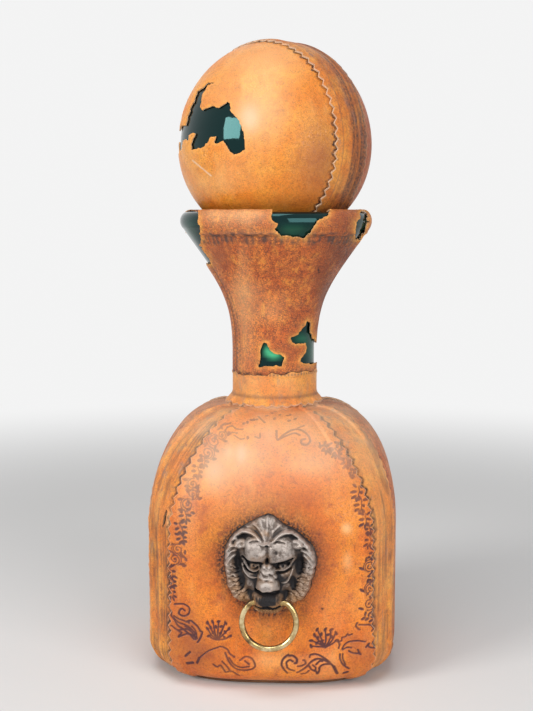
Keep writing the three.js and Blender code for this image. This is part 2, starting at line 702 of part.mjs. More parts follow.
function neckSleeve() {
  const ends = [SLEEVE_SEAM + SLEEVE_SLIT, SLEEVE_SEAM + 2 * Math.PI - SLEEVE_SLIT];
  const azimuths = spokesBetween(...ends);
  const rows = bottleSkin.stations(collarTop + GAP, sleeveTop);
  const sleeve = hideShell(rows.map((length) => neckLine(length, GAP, azimuths)));
  return cut(sleeve, [...neckTears, ...lipTears.map((torn) => lipTear(torn, NECK_RADIUS))]);
}

function rimBand() {
  const foot = sleeveTop - RIM_SKIRT;
  const beadTop = bottleSkin.lengths.at(-1) - (Math.PI * LIP_BEAD) / 2;
  const onSleeve = bottleSkin.stations(foot, sleeveTop + LAYER);
  const [, ...onBead] = bottleSkin.stations(sleeveTop + 2 * LAYER, beadTop + RIM_TURN_IN);
  const lines = [
    ...onSleeve.map((length) => neckLine(length, GAP + LAYER, allRound)),
    ...onBead.map((length) => neckLine(length, GAP, allRound)),
  ];
  return cut(
    hideShell(lines, true),
    lipTears.map((torn) => lipTear(torn, torn.through ? NECK_RADIUS : beadRadius)),
  );
}

add("neck_sleeve", neckSleeve(), russetHide);
add("rim_band", rimBand(), russetHide);

// Stopper glass: a hollow ball on a hollow shank

function ballArc(radius, halfHeight, neckRadius, count) {
  const start = Math.asin(neckRadius / radius) - Math.PI / 2;
  return arc(0, ballZ, radius, halfHeight, start, Math.PI / 2).getPoints(count);
}

const shankTipZ = lipZ - SHANK_DEPTH;
const shankTopZ = ballZ - BALL_HALF_HEIGHT * Math.sqrt(1 - (SHANK_RADIUS / BALL_RADIUS) ** 2);

function shankRadius(z) {
  return THREE.MathUtils.mapLinear(z, shankTipZ, shankTopZ, SHANK_TIP_RADIUS, SHANK_RADIUS);
}

function stopperGlass() {
  const bore = SHANK_TIP_RADIUS - SHANK_WALL;
  const ball = ballArc(BALL_RADIUS, BALL_HALF_HEIGHT, SHANK_RADIUS, BALL_FACETS.outside);
  const hollowRadius = BALL_RADIUS - BALL_WALL;
  const hollow = ballArc(hollowRadius, BALL_HALF_HEIGHT - BALL_WALL, bore, BALL_FACETS.inside);
  const tip = [bore, SHANK_TIP_RADIUS].map((radius) => new THREE.Vector2(radius, shankTipZ));
  return turned([...hollow.reverse(), ...tip, ...ball]);
}

add("stopper_glass", stopperGlass(), greenGlass);

// Cork round the shank, which seats in the flare of the neck

function boreRadius(z) {
  const above = inside.findIndex((p) => p.y <= z);
  const [high, low] = [inside[above - 1], inside[above]];
  return THREE.MathUtils.mapLinear(z, low.y, high.y, low.x, high.x);
}

function stopperCork() {
  const foot = shankTipZ + CORK_SETBACK;
  const top = foot + CORK_LENGTH;
  const inReach = (z) => z > foot + SHORTEST_STEP && z < top - SHORTEST_STEP;
  const knees = inside.map((p) => p.y).filter(inReach).reverse();
  const seat = [foot, ...knees, top].map((z) => new THREE.Vector2(boreRadius(z) - GAP, z));
  const hole = [top, foot].map((z) => new THREE.Vector2(shankRadius(z) + GAP, z));
  return turned([...seat, ...hole, seat[0]]);
}

add("stopper_cork", stopperCork(), corkBark);

// Hide on the ball: a belt over the top and a cap on each side of it

const beltPlane = new THREE.Vector3(Math.sin(BELT_AZIMUTH), -Math.cos(BELT_AZIMUTH), 0);
const beltSide = new THREE.Vector3(Math.cos(BELT_AZIMUTH), Math.sin(BELT_AZIMUTH), 0);
const upward = new THREE.Vector3(0, 0, 1);

// A place on the ball: turn runs along the belt from the top, tilt runs away from it towards a cap.
function ballPoint(turn, tilt, lift) {
  const along = upward.clone().multiplyScalar(Math.cos(turn)).addScaledVector(beltPlane, Math.sin(turn));
  const way = along.multiplyScalar(Math.cos(tilt)).addScaledVector(beltSide, Math.sin(tilt));
  const across = BALL_RADIUS + lift;
  const reach = new THREE.Vector3(across, across, BALL_HALF_HEIGHT + lift);
  return way.multiply(reach).addScaledVector(upward, ballZ);
}

function ballSpot(key, turn, tilt, lift) {
  return { key, outer: ballPoint(turn, tilt, lift + HIDE), inner: ballPoint(turn, tilt, lift) };
}

const beltEnd = Math.PI - HIDE_END;
const beltTurns = Array.from(
  { length: BALL_FACETS.belt + 1 },
  (_, i) => beltEnd * ((2 * i) / BALL_FACETS.belt - 1),
);

function stopperBelt() {
  const onBall = BALL_GAP;
  const onCaps = BALL_GAP + LAP_LAYER;
  const line = (tilt, lift) => beltTurns.map((turn) => ballSpot(turn, turn, tilt, lift));
  const halfTeeth = 2 * teethAlong(2 * beltEnd * BALL_RADIUS);
  const pinked = (side) =>
    Array.from({ length: halfTeeth + 1 }, (_, i) => {
      const turn = beltEnd * ((2 * i) / halfTeeth - 1);
      const tooth = ((i % 2 ? 1 : -1) * TOOTH_DEPTH) / (2 * BALL_RADIUS);
      return ballSpot(turn, turn, side * (BELT_HALF_ANGLE + tooth), onCaps);
    });
  const climbFoot = BELT_HALF_ANGLE - BELT_LAP - LAP_RAMP;
  const climbTop = BELT_HALF_ANGLE - BELT_LAP;
  return hideShell([
    pinked(-1),
    line(-climbTop, onCaps),
    line(-climbFoot, onBall),
    line(0, onBall),
    line(climbFoot, onBall),
    line(climbTop, onCaps),
    pinked(1),
  ]);
}

// A cap from under the belt's edge to its own pole, which is left clear of the shank.
function stopperCap(side) {
  const { capRound: steps, capRings: rings } = BALL_FACETS;
  const edge = BELT_HALF_ANGLE - BELT_LAP + LAP_MARGIN;
  const turns = Array.from({ length: steps }, (_, i) => (i * 2 * Math.PI) / steps);
  const edgeAt = (turn) => {
    const fromShank = Math.cos(HIDE_END) / Math.max(-Math.cos(turn), 1e-6);
    return Math.max(edge, fromShank < 1 && fromShank > 0 ? Math.acos(fromShank) : 0);
  };
  const lastTilt = Math.PI / 2 - CAP_POLE;
  const line = (share) =>
    turns.map((turn) => {
      const tilt = THREE.MathUtils.lerp(edgeAt(turn), lastTilt, share);
      return ballSpot(turn / (2 * Math.PI), turn, side * tilt, BALL_GAP);
    });
  const lines = Array.from({ length: rings + 1 }, (_, i) => line(i / rings));
  const pole = ballSpot(0, 0, (side * Math.PI) / 2, BALL_GAP);
  return hideDisc(lines, pole);
}

// As hideShell with closed lines, with the last line closed off by one point in the middle.
function hideDisc(lines, pole) {
  const points = lines.flat().flatMap(({ outer, inner }) => [outer, inner]);
  points.push(pole.outer, pole.inner);
  const count = lines[0].length;
  const at = (line, i) => 2 * (line * count + (i % count));
  const top = points.length - 2;
  const triangles = [];
  const face = (a, b, c) => triangles.push([a, b, c], [c + 1, b + 1, a + 1]);
  const last = lines.length - 1;
  for (let i = 0; i < count; i++) {
    for (let line = 0; line < last; line++) {
      face(at(line, i), at(line + 1, i), at(line, i + 1));
      face(at(line, i + 1), at(line + 1, i), at(line + 1, i + 1));
    }
    face(at(last, i), top, at(last, i + 1));
    triangles.push([at(0, i), at(0, i + 1), at(0, i + 1) + 1], [at(0, i), at(0, i + 1) + 1, at(0, i) + 1]);
  }
  return closedGeometry(points, triangles);
}

// The worn-through place on the front cap, seen from the front, from the ball's middle.
const ballTear = [
  [-60, 7], [-47, 8], [-44, 17], [-40, 25], [-32, 30], [-35, 26], [-38.5, 16], [-33, 17], [-25, 19],
  [-22, 15], [-15.6, 2.5], [-16, -6], [-22, -9], [-26, -1], [-31, -1], [-37, -4], [-44, -6], [-42, 3],
  [-46, 0], [-49, -5], [-60, -5],
].map(([x, z]) => [x, ballZ + z]);

add("stopper_belt", stopperBelt(), stripHide);
add("stopper_front_cap", cut(stopperCap(-1), [tear(ballTear, 0, GAP, 2 * BALL_RADIUS)]), tanHide);
add("stopper_back_cap", stopperCap(1), russetHide);

export default decanter;
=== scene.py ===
"""A leather-wrapped glass decanter with a ball stopper and a lion-mask ring pull.

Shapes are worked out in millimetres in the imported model's frame, +Z up with the mask towards -Y, and become
metres when a mesh is made. An azimuth is an angle about Z in degrees: 0 at the front, positive towards +X.
"""

import logging
import math
from dataclasses import dataclass, field
from enum import Enum

import bpy
import numpy as np
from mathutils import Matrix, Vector

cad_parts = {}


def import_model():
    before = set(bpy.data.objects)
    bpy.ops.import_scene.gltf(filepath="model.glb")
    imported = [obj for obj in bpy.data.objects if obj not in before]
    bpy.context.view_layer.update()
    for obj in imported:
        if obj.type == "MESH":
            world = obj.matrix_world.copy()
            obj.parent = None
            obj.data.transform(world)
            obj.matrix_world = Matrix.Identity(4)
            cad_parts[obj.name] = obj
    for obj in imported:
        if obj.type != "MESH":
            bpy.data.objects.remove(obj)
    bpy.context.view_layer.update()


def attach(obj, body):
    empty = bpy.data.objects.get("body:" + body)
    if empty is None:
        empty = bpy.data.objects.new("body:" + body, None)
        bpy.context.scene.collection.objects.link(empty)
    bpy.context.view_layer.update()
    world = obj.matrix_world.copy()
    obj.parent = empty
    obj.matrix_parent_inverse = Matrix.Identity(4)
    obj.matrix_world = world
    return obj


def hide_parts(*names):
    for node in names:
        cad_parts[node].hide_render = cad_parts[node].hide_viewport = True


LOG = logging.getLogger("decanter")
MILLIMETRE = 0.001  # in metres
METRE = 1000.0  # in millimetres
FAR = 99.0  # millimetres or degrees that nothing reaches

Colour = tuple[float, float, float]
Pixel = tuple[float, float]  # across and down in the photograph
Outline = list[Pixel]
Spot = tuple[float, float, float, float, float]  # a pixel, its reach across and down, and a strength
Edge = tuple[float, float]  # azimuths of a hide's edge, on the wall and at the top
Socket = bpy.types.NodeSocket

# What was measured in the photograph's pixels

# Painted glow: where the glass is painted green, as if light shone through the neck and lip.
GLASS_PAINTED_GLOWS: list[Spot] = [
    (274, 354, 7, 5, 1.1), (268, 350, 4, 5, 0.6), (270, 364, 10, 4, -0.9), (302, 339, 7, 5, 0.3),
    (312, 352, 5, 9, 0.16), (295, 230, 14, 5, 0.14), (188, 238, 8, 16, 0.1), (366, 228, 6, 8, 0.1),
]
STRIP_SLIT: Outline = [
    (168.6, 509.5), (169.8, 511.0), (167.6, 521.0), (165.0, 528.5), (164.2, 526.0), (166.0, 516.5),
]
SLIT_TONES: list[Spot] = [(175, 521, 5, 9, 1.3)]
# Painted light: the front right strip painted paler where light falls on it.
STRIP_PAINTED_LIGHT: list[Spot] = [(378, 545, 14, 70, 0.2), (366, 455, 14, 26, 0.3)]
# Tone spots of the front hide; the pale ones at the upper left and along the top are painted sheen.
FRONT_TONES_AND_SHEEN: list[Spot] = [
    (222, 472, 18, 26, 0.3), (250, 460, 28, 24, 0.4), (308, 466, 26, 14, 0.4), (230, 453, 5, 8, 0.4),
    (280, 425, 46, 12, 0.2), (345, 528, 5, 5, 0.9), (346, 561, 5, 9, 0.5), (207, 513, 14, 12, -0.5),
    (206, 560, 10, 34, -0.3), (316, 545, 12, 30, -0.35), (192, 640, 22, 30, -0.85), (215, 655, 26, 14, -0.4),
    (358, 652, 18, 22, -0.7), (270, 660, 30, 8, 0.25), (300, 640, 12, 12, -0.25), (322, 660, 24, 8, 0.1),
    (182, 560, 10, 60, -0.3), (285, 500, 40, 10, -0.25), (352, 470, 10, 20, -0.2),
]
# Dark spots of the front hide: painted shade beneath and beside the mask, and darker patches.
FRONT_STAINS_AND_SHADE: list[Spot] = [
    (321, 608, 1.4, 1.4, 1.0), (272, 613, 20, 7, 0.45), (304, 612, 5, 16, 0.35), (246, 603, 7, 9, 0.3),
    (203, 655, 12, 12, 0.2), (188, 626, 10, 20, 0.15),
]
FRONT_SHEEN: list[Spot] = [
    (214, 472, 10, 13, 0.3), (242, 455, 5, 9, 0.3), (236, 470, 44, 36, 0.32), (318, 464, 40, 26, 0.24),
    (190, 500, 10, 50, 0.16),
]
NECK_WINDOWS: list[Outline] = [
    [
        (260.5, 350), (265, 342), (267.5, 343), (270, 350), (278, 354), (284, 357.5), (283, 361),
        (281, 365.5), (260, 366),
    ],
    [
        (290, 338), (297, 334), (303, 324), (306, 320), (309, 322), (309, 333), (313, 341), (317, 344),
        (317.5, 362), (310, 364), (300, 363), (298, 361), (304, 352), (304, 343), (295, 343.5), (291, 341),
    ],
]
LIP_TEARS: list[Outline] = [
    [
        (174, 196), (197.5, 204), (197.5, 210.6), (200.5, 218), (201.3, 229), (203, 235), (202, 243),
        (207, 251), (212, 259.5), (213, 263), (206, 263), (188, 240), (174, 222),
    ],
    [
        (271.7, 215.9), (273, 206), (274, 196), (330, 196), (329.9, 211.3), (326.8, 215.9), (316, 220.5),
        (314.6, 224.3), (307.7, 233.5), (303.8, 237.3), (293.1, 235.8), (280.9, 235), (274.8, 228.2),
        (277.8, 223.6), (272.5, 219.7),
    ],
    [
        (360, 212), (365.5, 213), (366.2, 221.4), (363, 230.8), (358, 238.5), (353.5, 238.8), (353, 228.5),
        (355, 222), (358, 217),
    ],
]
# Mostly painted light and shade on the sleeve: paler down its left, darker down its right and at the left of
# the flare.
NECK_PAINTED_LIGHT_AND_SHADE: list[Spot] = [
    (244, 285, 10, 30, 0.35), (248, 330, 10, 30, 0.35), (338, 252, 14, 18, -1.0), (322, 292, 10, 34, -0.9),
    (316, 340, 5, 20, -0.5), (222, 252, 12, 16, -0.8), (270, 312, 16, 10, 0.15), (285, 352, 12, 10, -0.35),
    (300, 285, 18, 16, -0.3),
]
NECK_SCAR: list[Spot] = [(317, 269.5, 1.2, 2.2, 1.0)]
NECK_SHADE: list[Spot] = [(344, 248, 14, 22, 0.7), (325, 290, 12, 38, 0.6), (321, 335, 5, 24, 0.45)]
# Painted light and shade on the rim band: paler on its left, darker on its right.
RIM_PAINTED_LIGHT_AND_SHADE: list[Spot] = [(235, 214, 40, 10, 0.4), (345, 220, 16, 12, -0.6), (262, 232, 30, 5, 0.1)]
RIM_SHADE: list[Spot] = [(350, 226, 14, 14, 0.4)]
BALL_TEAR: Outline = [
    (214.7, 84), (209.8, 84), (199, 92.3), (194.9, 103.1), (189, 116.3), (186.6, 125.5), (183, 126.3),
    (181.8, 114), (168, 112), (168, 153), (181.2, 152.5), (184, 148), (184.9, 140.4), (190.3, 140.4),
    (189.9, 135), (197.3, 132.9), (192.4, 144.5), (192.4, 150.3), (205.6, 147), (213.1, 137), (216.4, 137),
    (214.7, 143.7), (219.7, 142.9), (223.9, 140.4), (228, 147.8), (233.8, 156.1), (245.4, 149.5),
    (244.6, 134.6), (239.6, 121.3), (231.3, 111.4), (231.3, 103.9), (228, 102.3), (219.7, 108.9),
    (213.1, 107.2), (206.5, 108.9), (203.1, 113), (201.9, 108), (203.1, 97.3), (209.8, 86.5),
]
# Mostly painted highlight and shade on the front cap: paler at the top and beside the tear, darker at the
# bottom and lower right.
BALL_PAINTED_LIGHT_AND_SHADE: list[Spot] = [
    (258, 66, 46, 20, 0.3), (258, 112, 34, 34, 0.4), (249, 120, 9, 12, 0.4), (270, 203, 60, 10, -0.5),
    (316, 168, 28, 36, -0.5), (212, 176, 36, 22, 0.4), (318, 136, 20, 46, -0.35), (208, 168, 10, 8, -0.3),
]
BALL_SHADE: list[Spot] = [(328, 160, 16, 36, 0.16)]
BALL_SHEEN: list[Spot] = [(250, 119, 9, 13, 0.5), (262, 112, 26, 24, 0.2)]
BALL_SCRATCH: Outline = [(195, 160), (213, 175), (195.2, 160.2)]


class Mark(Enum):
    """What the points of a hide or casting carry for its material."""

    TONE = "tone"  # below 0 redder and darker, above 0 yellower and paler; some spots of it are painted sheen and painted shade
    BURNISH = "burnish"  # darkened by hands and polish, and painted shade in cracks, under edges and on shaded sides
    TOOLING = "tooling"  # pressed lines of the scrollwork
    FOLD = "fold"  # creases and bends, darkened as painted shade; also needle holes and stains
    TORN = "torn"  # frayed edge beside a tear
    CUT = "cut"  # raw edge and flesh side, and pale painted sheen
    CAVITY_AND_SHADE = "cavity_and_shade"  # hollows of the casting, above 0, with painted shade added in some and on the ring's edges, and rubbed heights, below 0
    THIN = "thin"  # painted glow: glass painted green where light would shine through it


HIDE_MARKS = tuple(Mark)[:6]  # those that the finish of a hide reads


class Body(Enum):
    """The rigid bodies that pieces ride on."""

    DECANTER = "decanter"
    RING = "ring"
    STOPPER = "stopper"


# Shapes and noise


def smooth(value: np.ndarray, low: float, high: float) -> np.ndarray:
    """Eases numbers from 0, at a low one, to 1, at a high one."""
    share = np.clip((value - low) / (high - low), 0.0, 1.0)
    return share * share * (3.0 - 2.0 * share)


def lattice_noise(points: np.ndarray, size: float, seed: int) -> np.ndarray:
    """Smooth seeded noise.

    Args:
        points: Places in millimetres, with the axes last.
        size: Distance between lattice points in millimetres.
        seed: Picks one of many patterns.

    Returns:
        A number from -1 to 1 for each place.
    """
    scaled = points / size
    cell = np.floor(scaled).astype(np.int64)
    share = scaled - cell
    share = share * share * (3.0 - 2.0 * share)
    total = np.zeros(points.shape[:-1])
    for corner in np.ndindex(*(2,) * points.shape[-1]):
        weight = np.ones(points.shape[:-1])
        mixed = np.full(points.shape[:-1], seed * 7919 + 1013, np.int64)
        for axis, step in enumerate(corner):
            weight = weight * (share[..., axis] if step else 1.0 - share[..., axis])
            mixed = (mixed * 1664525 + (cell[..., axis] + step) * 22695477 + 12345) & 0xFFFFFFFF
        for shift, factor in ((15, 73244475), (13, 49979687)):
            mixed = ((mixed ^ (mixed >> shift)) * factor) & 0xFFFFFFFF
        mixed ^= mixed >> 16
        total += weight * (mixed / 2147483648.0 - 1.0)
    return total


def cloud(points: np.ndarray, size: float, seed: int, layers: int = 3) -> np.ndarray:
    """Layered noise from about -1 to 1, each layer half the size and half as strong as the last."""
    return sum(lattice_noise(points, size / 2**n, seed + 31 * n) / 2**n for n in range(layers)) / 1.5


def outline_distance(across: np.ndarray, down: np.ndarray, outline: Outline) -> np.ndarray:
    """Distance from an outline.

    Args:
        across: First coordinate of each place.
        down: Second coordinate of each place.
        outline: Corners in order, closed by itself.

    Returns:
        The distance, negative inside.
    """
    nearest = np.full(across.shape, np.inf)
    inside = np.zeros(across.shape, bool)
    for (x0, y0), (x1, y1) in zip(outline, outline[1:] + outline[:1]):
        dx, dy = x1 - x0, y1 - y0
        share = np.clip(((across - x0) * dx + (down - y0) * dy) / (dx * dx + dy * dy), 0.0, 1.0)
        nearest = np.minimum(nearest, np.hypot(across - x0 - share * dx, down - y0 - share * dy))
        crosses = (y0 > down) != (y1 > down)
        inside ^= crosses & (across < x0 + (down - y0) * dx / (dy if dy else 1e-9))
    return np.where(inside, -nearest, nearest)


def smooth_curve(corners: list[complex], count: int) -> np.ndarray:
    """A curve through points of a plan, written as complex numbers.

    Args:
        corners: Points to pass through.
        count: Points along each stretch.

    Returns:
        The points of a Catmull-Rom curve.
    """
    knots = np.array([2 * corners[0] - corners[1], *corners, 2 * corners[-1] - corners[-2]])
    share = np.linspace(0.0, 1.0, count, endpoint=False)[:, None]
    a, b, c, d = (knots[i : len(knots) - 3 + i] for i in range(4))
    curve = 0.5 * (
        2 * b + (c - a) * share + (2 * a - 5 * b + 4 * c - d) * share**2 + (3 * b - a - 3 * c + d) * share**3
    )
    return np.append(curve.T.ravel(), corners[-1])


def around_axis(radius: np.ndarray | float, angle: np.ndarray, height: np.ndarray) -> np.ndarray:
    """Places about Z, at angles in radians from the front."""
    return np.stack(np.broadcast_arrays(radius * np.sin(angle), -radius * np.cos(angle), height), axis=-1)


@dataclass(frozen=True)
class PhotoView:
    """The photograph's camera, which also places what was measured in its pixels."""

    width: int = 533
    height: int = 711
    focal: float = 1200.0  # pixels
    distance: float = 647.0  # from the axis, level
    eye_height: float = 240.0
    azimuth: float = 3.0
    turn: float = 3.39  # heading, to the left of +Y
    pitch: float = 6.72  # downwards
    scale: float = 0.5  # millimetres that a pixel covers on the front

    def eye(self) -> np.ndarray:
        """Where the camera stands, in millimetres."""
        angle = math.radians(self.azimuth)
        return np.array([self.distance * math.sin(angle), -self.distance * math.cos(angle), self.eye_height])

    def project(self, points: np.ndarray) -> tuple[np.ndarray, np.ndarray]:
        """Finds the pixels at which places show.

        Args:
            points: Places in millimetres, with the axes last.

        Returns:
            Pixels across and down.
        """
        away = points - self.eye()
        turn, pitch = math.radians(self.turn), math.radians(self.pitch)
        side = away[..., 0] * math.cos(turn) + away[..., 1] * math.sin(turn)
        level = away[..., 1] * math.cos(turn) - away[..., 0] * math.sin(turn)
        depth = level * math.cos(pitch) - away[..., 2] * math.sin(pitch)
        rise = away[..., 2] * math.cos(pitch) + level * math.sin(pitch)
        return (
            self.width / 2 + self.focal * side / depth,
            self.height / 2 - self.focal * rise / depth,
        )

    def spots(self, points: np.ndarray, spots: list[Spot]) -> np.ndarray:
        """Adds up soft spots on the side that faces the camera.

        Args:
            points: Places in millimetres.
            spots: Pixel across, pixel down, reach across, reach down and strength of each spot.

        Returns:
            The summed strength at each place.
        """
        across, down = self.project(points)
        facing = smooth(points[..., 1], 14.0, -2.0)
        total = np.zeros(across.shape)
        for x, y, reach_x, reach_y, strength in spots:
            total += strength * np.exp(-(((across - x) / reach_x) ** 2) - ((down - y) / reach_y) ** 2)
        return total * facing

    def tear_gap(
        self, points: np.ndarray, outlines: list[Outline], fray: float, seed: int, behind: float = 8.0
    ) -> np.ndarray:
        """How far places lie from the ragged edges of tears.

        Args:
            points: Places in millimetres.
            outlines: The tears in pixels.
            fray: How far the edge wanders, in millimetres.
            seed: Picks the raggedness.
            behind: How far back a tear runs past the outline, as a place along Y.

        Returns:
            Millimetres from the nearest tear, negative inside it.
        """
        across, down = self.project(points)
        gap = np.full(across.shape, FAR)
        for outline in outlines:
            gap = np.minimum(gap, self.scale * outline_distance(across, down, outline))
        gap = gap + cloud(points, 2.0, seed, 3) * fray * smooth(np.abs(gap), 4.0, 1.5)
        wander = cloud(points, 8.0, seed + 31, 3)
        gap = gap + 4.0 * wander * smooth(points[..., 1], behind - 9.0, behind)
        return np.maximum(gap, points[..., 1] - behind + 4.0 * wander)


# Meshes


def make_object(
    name: str,
    points: np.ndarray,
    faces: list[np.ndarray],
    uvs: np.ndarray,
    marks: dict[Mark, np.ndarray],
    crease: float,
) -> bpy.types.Object:
    """Makes a mesh object.

    Args:
        name: Name of the piece.
        points: Points in millimetres.
        faces: Arrays of faces, each array with one count of corners.
        uvs: A place on the map for each corner.
        marks: A number at each point for each mark.
        crease: Edges that turn more than this angle stay sharp, in degrees.

    Returns:
        The object, linked to the scene.
    """
    corners = np.concatenate([part.ravel() for part in faces])
    counts = np.concatenate([np.full(len(part), part.shape[1]) for part in faces])
    used, corners = np.unique(corners, return_inverse=True)
    mesh = bpy.data.meshes.new(name)
    mesh.vertices.add(len(used))
    mesh.vertices.foreach_set("co", (points[used] * MILLIMETRE).astype(np.float32).ravel())
    mesh.loops.add(len(corners))
    mesh.loops.foreach_set("vertex_index", corners.ravel().astype(np.int32))
    mesh.polygons.add(len(counts))
    mesh.polygons.foreach_set("loop_start", (np.cumsum(counts) - counts).astype(np.int32))
    mesh.update(calc_edges=True)
    mesh.uv_layers.new(name="OFBake").data.foreach_set("uv", uvs.astype(np.float32).ravel())
    for mark, values in marks.items():
        layer = mesh.attributes.new(mark.value, "FLOAT", "POINT")
        layer.data.foreach_set("value", values[used].astype(np.float32))
    mesh.shade_smooth()
    mesh.set_sharp_from_angle(angle=math.radians(crease))
    piece = bpy.data.objects.new(name, mesh)
    bpy.context.scene.collection.objects.link(piece)
    return piece


def cell_corners(
    row: np.ndarray, col: np.ndarray, rows: int, cols: int, across: int
) -> tuple[np.ndarray, np.ndarray]:
    """Finds the corners of cells of a grid.

    Args:
        row: Row of each cell.
        col: Column of each cell.
        rows: Rows of points in the grid.
        cols: Columns of points.
        across: Cells in a row.

    Returns:
        Numbers of each cell's four points, and their places on the map.
    """
    step_up, step_on = np.array([0, 0, 1, 1]), np.array([0, 1, 1, 0])
    up, on = row[:, None] + step_up, col[:, None] + step_on
    return up * cols + on % cols, np.stack([on / across, up / (rows - 1)], axis=-1)


def shell(
    name: str,
    outer: np.ndarray,
    inner: np.ndarray,
    marks: dict[Mark, np.ndarray],
    keep: np.ndarray | None = None,
    closed: bool = False,
    crease: float = 45.0,
) -> bpy.types.Object:
    """A closed skin of some thickness between two grids.

    Args:
        name: Name of the piece.
        outer: Outside points by row and column.
        inner: Inside points, one for each outside point.
        marks: Marks at each point of the grid.
        keep: Which cells of the grid are there. The others are torn away.
        closed: The last column meets the first.
        crease: Angle above which edges stay sharp, in degrees.

    Returns:
        The object.
    """
    rows, cols = outer.shape[:2]
    cells = cols if closed else cols - 1
    kept = np.ones((rows - 1, cells), bool) if keep is None else keep
    row, col = np.nonzero(kept)
    quads, map_out = cell_corners(row, col, rows, cols, cells)
    around = np.zeros((rows + 1, cells + 2), bool)
    around[1:-1, 1:-1] = kept
    if closed:
        around[1:-1, 0], around[1:-1, -1] = kept[:, -1], kept[:, 0]
    bare = [~around[:-2, 1:-1], ~around[1:-1, 2:], ~around[2:, 1:-1], ~around[1:-1, :-2]]
    below = rows * cols
    rims = []
    for side, open_side in enumerate(bare):
        edge = quads[open_side[row, col]]
        start, end = edge[:, side], edge[:, (side + 1) % 4]
        rims.append(np.stack([end, start, start + below, end + below], axis=1))
    rim = np.concatenate(rims)
    along = np.arange(len(rim)) / len(rim)
    onward = (np.arange(len(rim)) + 1) / len(rim)
    top, foot = np.full(len(rim), 0.12), np.full(len(rim), 0.1)
    ends = ((onward, top), (along, top), (along, foot), (onward, foot))
    map_rim = np.stack([np.stack(end, axis=1) for end in ends], axis=1)
    uvs = np.concatenate([map_out * (1.0, 0.86) + (0.0, 0.14), map_out[:, ::-1] * (1.0, 0.08), map_rim])
    both = {mark: np.concatenate([values.ravel()] * 2) for mark, values in marks.items()}
    raw = marks.get(Mark.CUT, np.zeros((rows, cols)))
    both[Mark.CUT] = np.concatenate([raw.ravel(), np.ones(rows * cols)])
    points = np.concatenate([outer.reshape(-1, 3), inner.reshape(-1, 3)])
    faces = [np.concatenate([quads, quads[:, ::-1] + below, rim])]
    return make_object(name, points, faces, uvs.reshape(-1, 2), both, crease)


def turned(
    name: str, rows: np.ndarray, marks: dict[Mark, np.ndarray], crease: float = 40.0
) -> bpy.types.Object:
    """A closed form from rings of points, with a single point closing each end.

    Args:
        name: Name of the piece.
        rows: Rings by row and column, from the point at one end to the point at the other.
        marks: Marks at each point of the rings.
        crease: Angle above which edges stay sharp, in degrees.

    Returns:
        The object.
    """
    count, cols = rows.shape[:2]
    row, col = (part.ravel() for part in np.mgrid[0 : count - 1, 0:cols])
    quads, corners = cell_corners(row, col, count, cols, cols)
    middle = (row > 0) & (row < count - 2)
    first, last = quads[row == 0], quads[row == count - 2]
    first[:, 0] = 0
    last[:, 2] = (count - 1) * cols
    faces = [quads[middle], first[:, [0, 2, 3]], last[:, :3]]
    uvs = [corners[middle], corners[row == 0][:, [0, 2, 3]], corners[row == count - 2][:, :3]]
    flat_uvs = np.concatenate([part.reshape(-1, 2) for part in uvs])
    flat = {mark: values.ravel() for mark, values in marks.items()}
    return make_object(name, rows.reshape(-1, 3), faces, flat_uvs, flat, crease)


def tear_away(grids: list[np.ndarray], gap: np.ndarray, closed: bool) -> np.ndarray:
    """Drops the cells inside a tear, and draws the points beside it onto its line.

    Args:
        grids: Grids of points, changed in place.
        gap: Distance of each point from the tear, negative inside.
        closed: The last column meets the first.

    Returns:
        Which cells are left.
    """
    wide = np.concatenate([gap, gap[:, :1]], axis=1) if closed else gap
    keep = (wide[:-1, :-1] + wide[1:, :-1] + wide[:-1, 1:] + wide[1:, 1:]) > 0.0
    around = np.pad(keep, 1, mode="edge")
    if closed:
        around[1:-1, 0], around[1:-1, -1] = keep[:, -1], keep[:, 0]
    corners = np.stack([around[:-1, :-1], around[1:, :-1], around[:-1, 1:], around[1:, 1:]])
    on_line = (corners.any(axis=0) & ~corners.all(axis=0))[:, : gap.shape[1]]
    steep_row, steep_col = np.gradient(gap)
    steep = steep_row**2 + steep_col**2 + 1e-9
    by_row = np.where(on_line, np.clip(-gap * steep_row / steep, -0.8, 0.8), 0.0)[..., None]
    by_col = np.where(on_line, np.clip(-gap * steep_col / steep, -0.8, 0.8), 0.0)[..., None]
    for grid in grids:
        per_row, per_col = np.gradient(grid, axis=(0, 1))
        grid += per_row * by_row + per_col * by_col
    return keep


def place(piece: bpy.types.Object, node: str, body: Body, slot: str, material: bpy.types.Material) -> None:
    """Puts a piece in its node's stead.

    Args:
        piece: The piece, already in place.
        node: The CAD node that it stands for.
        body: What it rides on.
        slot: The record's slot for its finish; not used.
        material: Its finish.
    """
    piece.data.materials.append(material)
    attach(piece, body.value)
    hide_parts(node)
    LOG.info("%s: %d faces, rides on %s", piece.name, len(piece.data.polygons), body.value)


# Forms of the glass


